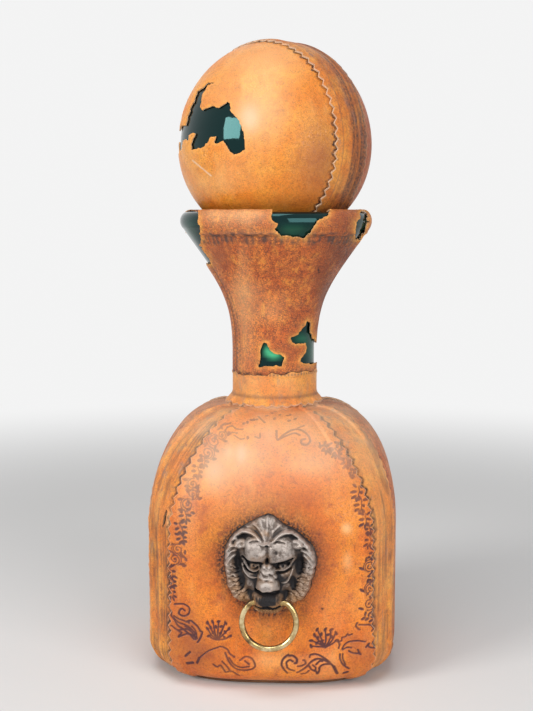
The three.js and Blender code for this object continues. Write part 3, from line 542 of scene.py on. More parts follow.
@dataclass
class BottleForm:
    """The outside of the bottle: a profile turned about Z and squared off in plan."""

    body_half_width: float = 64.6
    squareness: float = 3.3  # superellipse exponent of the body: 2 is round
    foot_height: float = 2.9
    foot_fillet: float = 15.0
    foot_tuck: float = 15.0  # degrees of the fillet that the hide leaves bare underneath
    wall_rise: float = 61.0
    shoulder_rise: float = 58.0
    neck_radius: float = 21.4
    root_fillet: float = 8.0
    neck_rise: float = 22.5
    flare_rise: float = 63.3
    flare_radius: float = 47.8
    flare_lean: float = 35.0
    flare_pull: float = 30.0
    lip_radius: float = 50.6
    lip_bead: float = 3.6
    lip_tall: float = 4.8  # half the height of the rolled lip
    lip_rise: float = 1.5
    wall: float = 3.6
    shoulder_height: float = field(init=False)
    tuck: float = field(init=False)  # lengths along the profile
    dome: float = field(init=False)
    root: float = field(init=False)
    neck: float = field(init=False)
    flare: float = field(init=False)
    bead_top: float = field(init=False)
    profile: np.ndarray = field(init=False, repr=False)
    normals: np.ndarray = field(init=False, repr=False)
    lengths: np.ndarray = field(init=False, repr=False)

    def __post_init__(self) -> None:
        """Draws the profile and keeps the lengths at which its parts end."""
        wall_z = self.foot_height + self.foot_fillet
        self.shoulder_height = wall_z + self.wall_rise
        root_z = self.shoulder_height + self.shoulder_rise
        neck_z = root_z + self.root_fillet
        flare_z = neck_z + self.neck_rise
        top_z = flare_z + self.flare_rise
        bead_r = self.lip_radius - self.lip_bead
        bead_z = top_z + self.lip_rise + self.lip_tall * math.sin(math.radians(60.0))
        foot_r = self.body_half_width - self.foot_fillet
        foot = (foot_r, wall_z, self.foot_fillet, self.foot_fillet)
        bare = -90.0 + self.foot_tuck
        side = np.linspace(wall_z, self.shoulder_height, 41)[1:]
        shoulder_r = self.neck_radius + self.root_fillet
        shoulder = (shoulder_r, self.shoulder_height, self.body_half_width - shoulder_r, self.shoulder_rise)
        lean = np.array([math.sin(math.radians(self.flare_lean)), math.cos(math.radians(self.flare_lean))])
        flare_top = np.array([self.flare_radius, top_z])
        bezier = [
            np.array([self.neck_radius, flare_z]),
            np.array([self.neck_radius, flare_z + self.flare_pull]),
            flare_top - self.flare_pull * lean,
            flare_top,
        ]
        share = np.linspace(0.0, 1.0, 90)[1:, None]
        weights = [(1 - share) ** 3, 3 * share * (1 - share) ** 2, 3 * share**2 * (1 - share), share**3]
        bead = self.arc(bead_r, bead_z, self.lip_bead, self.lip_tall, -60.0, 180.0, 70)
        parts = [
            np.stack([np.linspace(0.0, foot_r, 12), np.full(12, self.foot_height)], axis=1),
            self.arc(*foot, -90.0, bare, 10)[1:],
            self.arc(*foot, bare, 0.0, 40)[1:],
            np.stack([np.full(40, self.body_half_width), side], axis=1),
            self.arc(*shoulder, 0.0, 90.0, 160)[1:],
            self.arc(shoulder_r, neck_z, self.root_fillet, self.root_fillet, -90.0, -180.0, 16)[1:],
            np.stack([np.full(26, self.neck_radius), np.linspace(neck_z, flare_z, 27)[1:]], axis=1),
            sum(weight * knot for weight, knot in zip(weights, bezier)),
            bead,
        ]
        self.profile = np.concatenate(parts)
        steps = np.linalg.norm(np.diff(self.profile, axis=0), axis=1)
        self.lengths = np.concatenate([[0.0], np.cumsum(steps)])
        along = np.gradient(self.profile, self.lengths, axis=0)
        along /= np.linalg.norm(along, axis=1, keepdims=True)
        self.normals = np.stack([along[:, 1], -along[:, 0]], axis=1)
        ends = self.lengths[np.cumsum([len(part) for part in parts]) - 1]
        _, self.tuck, _, _, self.dome, self.root, self.neck, self.flare, _ = ends
        self.bead_top = float(self.lengths[np.argmax(self.profile[:, 1])])

    @staticmethod
    def arc(r: float, z: float, wide: float, high: float, start: float, end: float, count: int) -> np.ndarray:
        """Radius and height of points along an arc of an ellipse, between two angles in degrees."""
        angle = np.radians(np.linspace(start, end, count))
        return np.stack([r + wide * np.cos(angle), z + high * np.sin(angle)], axis=1)

    def reach(self, azimuth: np.ndarray, height: np.ndarray) -> np.ndarray:
        """How far the plan reaches at an azimuth, as a share of its half width.

        Args:
            azimuth: Degrees.
            height: Millimetres.

        Returns:
            The share, 1 at the middle of a side.
        """
        climb = np.clip((height - self.shoulder_height) / self.shoulder_rise, 0.0, 1.0)
        exponent = 2.0 + (self.squareness - 2.0) * (1.0 - climb**2)
        angle = np.radians(azimuth)
        return (np.abs(np.sin(angle)) ** exponent + np.abs(np.cos(angle)) ** exponent) ** (-1.0 / exponent)

    def surface(self, azimuth: np.ndarray, length: np.ndarray, lift: np.ndarray | float) -> np.ndarray:
        """Places over the glass.

        Args:
            azimuth: Degrees.
            length: Length along the profile.
            lift: Height over the glass.

        Returns:
            Points in millimetres.
        """
        radius, height = (np.interp(length, self.lengths, self.profile[:, i]) for i in range(2))
        out, up = (np.interp(length, self.lengths, self.normals[:, i]) for i in range(2))
        far = (radius + out * lift) * self.reach(azimuth, height)
        return around_axis(far, np.radians(azimuth), height + up * lift)


@dataclass(frozen=True)
class BallForm:
    """The stopper's ball, with places given along and across its belt."""

    radius: float = 49.95
    half_height: float = 53.25  # upwards
    half_depth: float = 49.6  # downwards
    middle: float = 275.8
    belt_azimuth: float = 53.5  # the belt's plane holds the axis and this azimuth

    def surface(self, turn: np.ndarray, tilt: np.ndarray, lift: np.ndarray | float) -> np.ndarray:
        """Places over the ball.

        Args:
            turn: Angle along the belt from the top, in radians.
            tilt: Angle away from the belt, towards the back cap, in radians.
            lift: Height over the glass.

        Returns:
            Points in millimetres.
        """
        angle = math.radians(self.belt_azimuth)
        plane = np.array([math.sin(angle), -math.cos(angle), 0.0])
        side = np.array([math.cos(angle), math.sin(angle), 0.0])
        upward = np.array([0.0, 0.0, 1.0])
        turn, tilt, lift = np.broadcast_arrays(turn, tilt, lift)
        way = np.cos(turn)[..., None] * upward + np.sin(turn)[..., None] * plane
        way = np.cos(tilt)[..., None] * way + np.sin(tilt)[..., None] * side
        high = np.where(way[..., 2] > 0.0, self.half_height, self.half_depth)
        reach = np.stack([self.radius + lift, self.radius + lift, high + lift], axis=-1)
        return way * reach + upward * self.middle


# Finishes


class Wiring:
    """Adds nodes to a shader tree and joins them."""

    def __init__(self, tree: bpy.types.NodeTree) -> None:
        """Keeps the tree."""
        self.tree = tree

    def node(self, kind: str, **settings: object) -> bpy.types.Node:
        """Adds a node.

        Args:
            kind: Blender's name for the node, without its prefix.
            settings: Properties to set on it.

        Returns:
            The node.
        """
        made = self.tree.nodes.new(kind if kind.startswith("NodeGroup") else f"ShaderNode{kind}")
        for name, value in settings.items():
            setattr(made, name, value)
        return made

    def fill(self, node: bpy.types.Node, values: dict[int | str, object]) -> bpy.types.Node:
        """Feeds a node's inputs.

        Args:
            node: The node.
            values: A socket to join, or a number or colour to set, by the input's name or place.

        Returns:
            The node.
        """
        for key, value in values.items():
            socket = node.inputs[key]
            if isinstance(value, Socket):
                self.tree.links.new(value, socket)
            elif socket.type == "RGBA":
                socket.default_value = (*value, 1.0)
            else:
                socket.default_value = value
        return node

    def math(self, operation: str, first: object, second: object = 0.0, clamp: bool = False) -> Socket:
        """A sum of two sockets or numbers, kept between 0 and 1 if it is clamped."""
        made = self.node("Math", operation=operation, use_clamp=clamp)
        return self.fill(made, {0: first, 1: second}).outputs[0]

    def times(self, first: object, second: object, clamp: bool = False) -> Socket:
        """A product of two sockets or numbers."""
        return self.math("MULTIPLY", first, second, clamp)

    def mix(self, share: object, first: object, second: object) -> Socket:
        """A colour between two, by the share of the second."""
        return self.fill(self.node("Mix", data_type="RGBA"), {0: share, 6: first, 7: second}).outputs[2]

    def span(self, value: Socket, low: float, high: float, start: float = 0.0, end: float = 1.0) -> Socket:
        """Eases a value from one span, low to high, into another, start to end."""
        made = self.node("MapRange", interpolation_type="SMOOTHSTEP")
        return self.fill(made, dict(enumerate((value, low, high, start, end)))).outputs[0]

    def noise(self, place: Socket, scale: object, detail: float = 3.0, rough: float = 0.55) -> Socket:
        """A noise, with the count of its layers and the strength of the finer ones."""
        given = {"Vector": place, "Scale": scale, "Detail": detail, "Roughness": rough}
        return self.fill(self.node("TexNoise"), given).outputs[0]

    def stretched(self, place: Socket, scale: tuple[float, float, float]) -> Socket:
        """Coordinates stretched along each axis."""
        return self.fill(self.node("VectorMath", operation="MULTIPLY"), {0: place, 1: scale}).outputs[0]

    def bump(self, strength: float, distance: float, height: Socket) -> Socket:
        """Normals of a fine relief that is some metres deep."""
        given = {"Strength": strength, "Distance": distance, "Height": height}
        return self.fill(self.node("Bump"), given).outputs["Normal"]

    def mark(self, mark: Mark) -> Socket:
        """Reads a mark from the mesh."""
        return self.node("Attribute", attribute_name=mark.value).outputs["Fac"]

    def place(self) -> Socket:
        """Coordinates of the piece itself, in metres."""
        return self.node("TexCoord").outputs["Object"]

    def group(self, tree: bpy.types.NodeTree, values: dict[str, object]) -> bpy.types.Node:
        """Places a node group and feeds its inputs."""
        return self.fill(self.node("Group", node_tree=tree), values)


class Effects:
    """Shader groups that several finishes share, each made once."""

    def __init__(self) -> None:
        """Makes the groups."""
        self.mottle = self.make_mottle()
        self.grain = self.make_grain()
        self.wear = self.make_wear()
        self.marks = self.make_marks()
        self.patina = self.make_patina()

    @staticmethod
    def begin(
        name: str, inputs: dict[str, str], outputs: dict[str, str]
    ) -> tuple[Wiring, list[Socket], bpy.types.Node]:
        """Starts a group.

        Args:
            name: Name of the group.
            inputs: Kind of socket for each input: Vector, Float or Color.
            outputs: Kind of socket for each output.

        Returns:
            The group's wiring, what its inputs give, and its output node.
        """
        tree = bpy.data.node_groups.new(name, "ShaderNodeTree")
        for side, sockets in (("INPUT", inputs), ("OUTPUT", outputs)):
            for label, kind in sockets.items():
                tree.interface.new_socket(name=label, in_out=side, socket_type=f"NodeSocket{kind}")
        wiring = Wiring(tree)
        given = wiring.node("NodeGroupInput")
        return wiring, [given.outputs[label] for label in inputs], wiring.node("NodeGroupOutput")

    def make_mottle(self) -> bpy.types.NodeTree:
        """Uneven dye: broad patches, smaller blotches and fine flecks."""
        wiring, (place, patch, fleck), result = self.begin(
            "hide_mottle",
            {"Place": "Vector", "Patch Scale": "Float", "Fleck Scale": "Float"},
            {"Patches": "Float", "Blotches": "Float", "Flecks": "Float"},
        )
        warped = wiring.noise(place, wiring.times(patch, 0.6), 2.0)
        shifted = wiring.node("VectorMath", operation="MULTIPLY_ADD")
        wiring.fill(shifted, {0: warped, 1: (0.012, 0.012, 0.012), 2: place})
        broad = wiring.noise(shifted.outputs[0], patch, 4.0, 0.62)
        small = wiring.noise(shifted.outputs[0], wiring.times(patch, 3.1), 5.0, 0.66)
        fine = wiring.noise(place, fleck, 3.0, 0.6)
        masks = {"Patches": (broad, 0.36, 0.66), "Blotches": (small, 0.5, 0.72), "Flecks": (fine, 0.52, 0.72)}
        wiring.fill(result, {name: wiring.span(*limits) for name, limits in masks.items()})
        return wiring.tree

    def make_grain(self) -> bpy.types.NodeTree:
        """Pebbled grain: rounded cells with fine valleys between them."""
        wiring, (place, scale), result = self.begin(
            "hide_grain", {"Place": "Vector", "Grain Scale": "Float"}, {"Height": "Float", "Valleys": "Float"}
        )
        cells = wiring.node("TexVoronoi", feature="DISTANCE_TO_EDGE")
        wiring.fill(cells, {"Vector": place, "Scale": scale})
        rounded = wiring.span(cells.outputs["Distance"], 0.0, 0.28)
        rough = wiring.noise(place, wiring.times(scale, 0.55), 3.0, 0.6)
        height = wiring.math("ADD", wiring.times(rounded, 0.55), wiring.times(rough, 0.9))
        valleys = wiring.times(wiring.math("SUBTRACT", 1.0, rounded), wiring.span(rough, 0.7, 0.4), True)
        wiring.fill(result, {"Height": height, "Valleys": valleys})
        return wiring.tree

    def make_wear(self) -> bpy.types.NodeTree:
        """Rubbed places and fine scratches."""
        wiring, (place, scale), result = self.begin(
            "rubbed_wear",
            {"Place": "Vector", "Wear Scale": "Float"},
            {"Rubbed": "Float", "Scratches": "Float"},
        )
        worn = wiring.noise(wiring.stretched(place, (1.0, 1.0, 0.3)), scale, 6.0, 0.7)
        lines = wiring.noise(wiring.stretched(place, (1.0, 0.6, 0.16)), wiring.times(scale, 3.0), 1.0)
        thin = wiring.span(wiring.math("ABSOLUTE", wiring.math("SUBTRACT", lines, 0.5)), 0.012, 0.0)
        seldom = wiring.span(wiring.noise(place, wiring.times(scale, 0.8), 2.0), 0.58, 0.68)
        rubbed = wiring.span(worn, 0.53, 0.68)
        wiring.fill(result, {"Rubbed": rubbed, "Scratches": wiring.times(thin, seldom)})
        return wiring.tree

    def make_marks(self) -> bpy.types.NodeTree:
        """Colours of a hide's marks: tone, polish with painted shade, tooling, folds with painted shade, torn
        edges, and cut edges with painted sheen.
        """
        wiring, (colour, tone, burnish, tooling, fold, torn, cut, fibre), result = self.begin(
            "hide_marks",
            {"Color": "Color", **{mark.value.title(): "Float" for mark in HIDE_MARKS}, "Fibre": "Float"},
            {"Color": "Color", "Roughness": "Float"},
        )
        speckled = wiring.times(burnish, wiring.span(fibre, 0.34, 0.66, 0.45, 1.15))
        frayed = wiring.times(torn, wiring.span(fibre, 0.2, 0.7, 0.35, 1.0))
        # Pale tone and the cut colour also paint sheen; dark tone, burnish and fold colours also paint shade.
        for mask, strength, dye in (
            (tone, 0.75, (0.95, 0.58, 0.27)),
            (tone, -0.8, (0.30, 0.075, 0.028)),
            (speckled, 0.93, (0.032, 0.012, 0.009)),
            (fold, 0.92, (0.075, 0.042, 0.035)),
            (tooling, 0.93, (0.05, 0.014, 0.024)),
            (frayed, 1.0, (0.9, 0.42, 0.1)),
            (cut, 0.85, (0.76, 0.58, 0.42)),
        ):
            colour = wiring.mix(wiring.times(mask, strength, True), colour, dye)
        matt = wiring.math("ADD", wiring.times(torn, 0.25), wiring.times(cut, 0.3))
        matt = wiring.math("ADD", matt, wiring.times(tooling, 0.12))
        wiring.fill(result, {"Color": colour, "Roughness": matt})
        return wiring.tree

    def make_patina(self) -> bpy.types.NodeTree:
        """Old metal: bright where it is rubbed, dull where tarnish stays and where shade is painted into its
        hollows.
        """
        wiring, (place, cavity_and_shade, scale), result = self.begin(
            "metal_patina",
            {"Place": "Vector", "Cavity_And_Shade": "Float", "Tarnish Scale": "Float"},
            {"Rubbed": "Float", "Tarnish": "Float", "Pits": "Float"},
        )
        broken = wiring.noise(place, scale, 5.0, 0.7)
        high = wiring.math("SUBTRACT", wiring.times(wiring.span(broken, 0.3, 0.7), 0.8), cavity_and_shade)
        low = wiring.math("ADD", wiring.times(broken, 0.7), cavity_and_shade)
        pits = wiring.noise(place, wiring.times(scale, 5.0), 3.0, 0.6)
        rubbed, tarnish = wiring.span(high, 0.2, 1.0), wiring.span(low, 0.4, 0.85)
        wiring.fill(result, {"Rubbed": rubbed, "Tarnish": tarnish, "Pits": pits})
        return wiring.tree


def new_material(name: str) -> tuple[bpy.types.Material, Wiring, bpy.types.Node]:
    """Starts a material.

    Args:
        name: Name of the material.

    Returns:
        The material, its wiring and its Principled shader.
    """
    material = bpy.data.materials.new(name)
    material.use_nodes = True
    return material, Wiring(material.node_tree), material.node_tree.nodes["Principled BSDF"]


@dataclass(frozen=True)
class HideFinish:
    """A dyed and waxed leather."""

    name: str
    pale: Colour
    middle: Colour
    deep: Colour
    dark: Colour
    worn: Colour
    patch: float = 26.0  # sizes in millimetres
    fleck: float = 1.6
    grain: float = 0.85
    blotched: float = 0.5  # strengths from 0 to 1
    flecked: float = 0.25
    valleys: float = 0.35
    rubbed: float = 0.0
    scratched: float = 0.3
    roughness: float = 0.46
    relief: float = 0.35
    fibres: float = 900.0  # to a metre
    wax: float = 0.4  # gloss

    def make(self, effects: Effects) -> bpy.types.Material:
        """Builds the material.

        Args:
            effects: The shared groups.

        Returns:
            The material.
        """
        material, wiring, shader = new_material(self.name)
        place = wiring.place()
        patch, fleck, grain = (METRE / size for size in (self.patch, self.fleck, self.grain))
        mottle = wiring.group(effects.mottle, {"Place": place, "Patch Scale": patch, "Fleck Scale": fleck})
        pebbles = wiring.group(effects.grain, {"Place": place, "Grain Scale": grain})
        wear = wiring.group(effects.wear, {"Place": place, "Wear Scale": METRE / (self.patch * 0.45)})
        patches = mottle.outputs["Patches"]
        colour = wiring.mix(patches, self.middle, self.pale)
        for mask, strength, dye in (
            (mottle.outputs["Blotches"], self.blotched, self.deep),
            (mottle.outputs["Flecks"], self.flecked, self.dark),
            (pebbles.outputs["Valleys"], self.valleys, self.dark),
            (wear.outputs["Rubbed"], self.rubbed, self.worn),
            (wear.outputs["Scratches"], self.scratched, self.pale),
        ):
            colour = wiring.mix(wiring.times(mask, strength, True), colour, dye)
        given = {mark.value.title(): wiring.mark(mark) for mark in HIDE_MARKS}
        fibre = wiring.noise(place, self.fibres, 2.0)
        done = wiring.group(effects.marks, {"Color": colour, "Fibre": fibre, **given})
        rough = wiring.math("ADD", done.outputs["Roughness"], self.roughness)
        uneven = wiring.times(wiring.math("SUBTRACT", patches, 0.5), -0.14)
        looks = {
            "Base Color": done.outputs["Color"],
            "Roughness": wiring.math("ADD", rough, uneven, True),
            "Normal": wiring.bump(self.relief, 0.0004, pebbles.outputs["Height"]),
            "Specular IOR Level": self.wax,
        }
        wiring.fill(shader, looks)
        return material


@dataclass(frozen=True)
class GlassFinish:
    """Dark bottle glass, painted green where light would shine through it."""

    name: str = "bottle_glass"
    thick: Colour = (0.002, 0.007, 0.007)
    # colour of the painted glow
    thin: Colour = (0.1, 0.62, 0.3)
    # cyan tint of the reflections, painted in as the colour of a window
    glint: Colour = (0.4, 1.0, 1.0)

    def make(self) -> bpy.types.Material:
        """Builds the material and returns it."""
        material, wiring, shader = new_material(self.name)
        place = wiring.place()
        uneven = wiring.span(wiring.noise(place, 60.0, 2.0), 0.35, 0.65, 0.6, 1.0)
        share = wiring.times(wiring.mark(Mark.THIN), uneven, True)
        looks = {
            "Base Color": wiring.mix(share, self.thick, self.thin),
            "Normal": wiring.bump(0.12, 0.0006, wiring.noise(place, 110.0, 2.0)),
            "Roughness": 0.05,
            "IOR": 1.42,
            "Specular IOR Level": 0.5,
            "Specular Tint": self.glint,
            "Transmission Weight": 0.12,
        }
        wiring.fill(shader, looks)
        return material


@dataclass(frozen=True)
class MetalFinish:
    """A cast or drawn metal with its patina."""

    name: str
    bright: Colour
    middle: Colour
    dull: Colour
    tarnish_size: float  # millimetres
    roughness: float
    metallic: float
    relief: float = 0.25
    brown: Colour = (0.29, 0.155, 0.07)  # old lacquer

    def make(self, effects: Effects) -> bpy.types.Material:
        """Builds the material.

        Args:
            effects: The shared groups.

        Returns:
            The material.
        """
        material, wiring, shader = new_material(self.name)
        given = {"Place": wiring.place(), "Cavity_And_Shade": wiring.mark(Mark.CAVITY_AND_SHADE)}
        patina = wiring.group(effects.patina, {**given, "Tarnish Scale": METRE / self.tarnish_size})
        tarnish = patina.outputs["Tarnish"]
        colour = wiring.mix(patina.outputs["Rubbed"], self.middle, self.bright)
        colour = wiring.mix(wiring.times(wiring.mark(Mark.TONE), 0.8, True), colour, self.brown)
        looks = {
            "Base Color": wiring.mix(tarnish, colour, self.dull),
            "Roughness": wiring.math("ADD", wiring.times(tarnish, 0.3), self.roughness, True),
            "Metallic": wiring.math("ADD", wiring.times(tarnish, -0.5 * self.metallic), self.metallic, True),
            "Normal": wiring.bump(self.relief, 0.0002, patina.outputs["Pits"]),
        }
        wiring.fill(shader, looks)
        return material


@dataclass(frozen=True)
class CorkFinish:
    """Raw cork bark with dark pores."""

    name: str = "cork_bark"
    bark: Colour = (0.46, 0.29, 0.15)
    pale: Colour = (0.58, 0.4, 0.23)
    pore: Colour = (0.12, 0.06, 0.03)

    def make(self, effects: Effects) -> bpy.types.Material:
        """Builds the material.

        Args:
            effects: The shared groups.

        Returns:
            The material.
        """
        material, wiring, shader = new_material(self.name)
        place = wiring.place()
        mottle = wiring.group(effects.mottle, {"Place": place, "Patch Scale": 180.0, "Fleck Scale": 520.0})
        grain = wiring.group(effects.grain, {"Place": place, "Grain Scale": 700.0})
        colour = wiring.mix(mottle.outputs["Patches"], self.bark, self.pale)
        pores = wiring.span(wiring.noise(wiring.stretched(place, (1.0, 1.0, 2.5)), 260.0, 2.0), 0.62, 0.7)
        relief = wiring.math("SUBTRACT", grain.outputs["Height"], pores)
        looks = {
            "Base Color": wiring.mix(pores, colour, self.pore),
            "Roughness": 0.85,
            "Normal": wiring.bump(0.5, 0.0004, relief),
        }
        wiring.fill(shader, looks)
        return material


TAN_HIDE = HideFinish(
    name="tan_hide",
    pale=(0.92, 0.29, 0.025),
    middle=(0.80, 0.19, 0.016),
    deep=(0.50, 0.09, 0.018),
    dark=(0.12, 0.024, 0.016),
    worn=(0.88, 0.42, 0.11),
    patch=22.0,
    fleck=0.95,
    blotched=0.7,
    flecked=0.52,
    valleys=0.34,
    rubbed=0.25,
    roughness=0.36,
    relief=0.4,
)
STRIP_HIDE = HideFinish(
    name="strip_hide",
    pale=(0.92, 0.37, 0.055),
    middle=(0.80, 0.235, 0.03),
    deep=(0.45, 0.115, 0.028),
    dark=(0.09, 0.04, 0.035),
    worn=(0.27, 0.22, 0.2),
    patch=14.0,
    fleck=1.1,
    blotched=0.75,
    flecked=0.5,
    valleys=0.35,
    rubbed=0.5,
    roughness=0.5,
    relief=0.3,
)
RUSSET_HIDE = HideFinish(
    name="russet_hide",
    pale=(0.84, 0.25, 0.045),
    middle=(0.64, 0.145, 0.03),
    deep=(0.27, 0.065, 0.03),
    dark=(0.08, 0.022, 0.02),
    worn=(0.94, 0.38, 0.06),
    patch=10.0,
    fleck=0.95,
    grain=1.0,
    blotched=0.7,
    flecked=0.8,
    valleys=0.75,
    rubbed=0.6,
    roughness=0.5,
    relief=0.8,
)
BALL_HIDE = HideFinish(
    name="ball_hide",
    pale=(0.92, 0.37, 0.045),
    middle=(0.83, 0.25, 0.022),
    deep=(0.57, 0.15, 0.013),
    dark=(0.17, 0.042, 0.012),
    worn=(0.92, 0.48, 0.14),
    patch=24.0,
    fleck=1.0,
    grain=0.9,
    blotched=0.6,
    flecked=0.46,
    valleys=0.34,
    rubbed=0.25,
    roughness=0.34,
    relief=0.5,
)
SOLE_HIDE = HideFinish(
    name="sole_hide",
    pale=(0.26, 0.13, 0.06),
    middle=(0.19, 0.09, 0.045),
    deep=(0.12, 0.05, 0.03),
    dark=(0.05, 0.025, 0.018),
    worn=(0.3, 0.2, 0.12),
    roughness=0.75,
    rubbed=0.3,
)
AGED_BRONZE = MetalFinish(
    name="aged_bronze",
    bright=(0.4, 0.345, 0.31),
    middle=(0.11, 0.083, 0.069),
    dull=(0.01, 0.008, 0.009),
    tarnish_size=2.6,
    roughness=0.42,
    metallic=0.4,
    relief=0.6,
)
BRIGHT_BRASS = MetalFinish(
    name="bright_brass",
    bright=(0.8, 0.66, 0.38),
    middle=(0.46, 0.32, 0.13),
    dull=(0.07, 0.036, 0.014),
    tarnish_size=5.0,
    roughness=0.2,
    metallic=1.0,
    relief=0.15,
)


class Finishes:
    """Every material of the decanter, made once."""

    def __init__(self) -> None:
        """Makes the shared groups and the materials."""
        effects = Effects()
        self.tan = TAN_HIDE.make(effects)
        self.strip = STRIP_HIDE.make(effects)
        self.russet = RUSSET_HIDE.make(effects)
        self.ball = BALL_HIDE.make(effects)
        self.sole = SOLE_HIDE.make(effects)
        self.glass = GlassFinish().make()
        self.cork = CorkFinish().make(effects)
        self.bronze = AGED_BRONZE.make(effects)
        self.brass = BRIGHT_BRASS.make(effects)


# Glass and sole


@dataclass
class GlassBottle:
    """The blown bottle, outside and inside."""

    form: BottleForm
    view: PhotoView
    spokes: int = 240

    def build(self, finishes: Finishes) -> None:
        """Makes the bottle and puts it in its node's stead.

        Args:
            finishes: The materials.
        """
        form = self.form
        knots = np.arange(len(form.lengths))
        outside = np.interp(np.linspace(0, len(form.lengths) - 1, 210), knots, form.lengths)
        inside = np.linspace(form.flare, 0.0, 90)
        azimuth = np.linspace(0.0, 360.0, self.spokes, endpoint=False)[None, :]
        rows = np.concatenate(
            [form.surface(azimuth, outside[:, None], 0.0), form.surface(azimuth, inside[:, None], -form.wall)]
        )
        rows[0, :, :2] = rows[-1, :, :2] = 0.0
        # Painted glow where light would shine through the neck and lip.
        thin = np.maximum(self.view.spots(rows, GLASS_PAINTED_GLOWS), 0.0)
        piece = turned("blown_bottle", rows, {Mark.THIN: thin})
        place(piece, "glass_bottle", Body.DECANTER, "green_glass", finishes.glass)


@dataclass
class SolePad:
    """The stiff leather that the bottle stands on."""

    form: BottleForm
    thickness: float = 2.6
    reach: float = 52.9
    bevel: float = 0.6
    spokes: int = 200

    def build(self, finishes: Finishes) -> None:
        """Makes the pad and puts it in its node's stead.

        Args:
            finishes: The materials.
        """
        out, bevel, top = self.reach, self.bevel, self.thickness
        corners = [
            (0.0, 0.0), (out * 0.5, 0.0), (out - bevel, 0.0), (out - 0.3 * bevel, 0.3 * bevel), (out, bevel),
            (out, top - bevel), (out - 0.3 * bevel, top - 0.3 * bevel), (out - bevel, top),
            (out * 0.5, top), (0.0, top),
        ]
        radius, height = (np.array(part)[:, None] for part in zip(*corners))
        azimuth = np.linspace(0.0, 360.0, self.spokes, endpoint=False)[None, :]
        far = radius * self.form.reach(azimuth, np.zeros(1))
        rows = around_axis(far, np.radians(azimuth), height)
        piece = turned("sole_pad", rows, {Mark.CUT: np.zeros(rows.shape[:2])})
        place(piece, "base_pad", Body.DECANTER, "sole_leather", finishes.sole)


# Hides of the body


@dataclass(frozen=True)
class Pinking:
    """A zigzag edge, as pinking shears cut it."""

    pitch: float = 5.0
    depth: float = 2.0
    blend: float = 5.0  # how far in from the edge the zigzag dies away

    def teeth(self, length: float) -> int:
        """How many teeth fit along an edge."""
        return max(2, round(length / self.pitch))

    def rows(self, length: float, step: float) -> int:
        """How many lines across the edge catch every tip and root, with lines a step apart."""
        halves = 2 * self.teeth(length)
        return halves * max(2, math.ceil(length / halves / step)) + 1

    def wave(self, share: np.ndarray, length: float) -> np.ndarray:
        """The zigzag at places from 0 to 1 along an edge: -1 at a root, 1 at a tip."""
        phase = share * self.teeth(length)
        return 4.0 * np.abs(phase - np.floor(phase + 0.5)) - 1.0


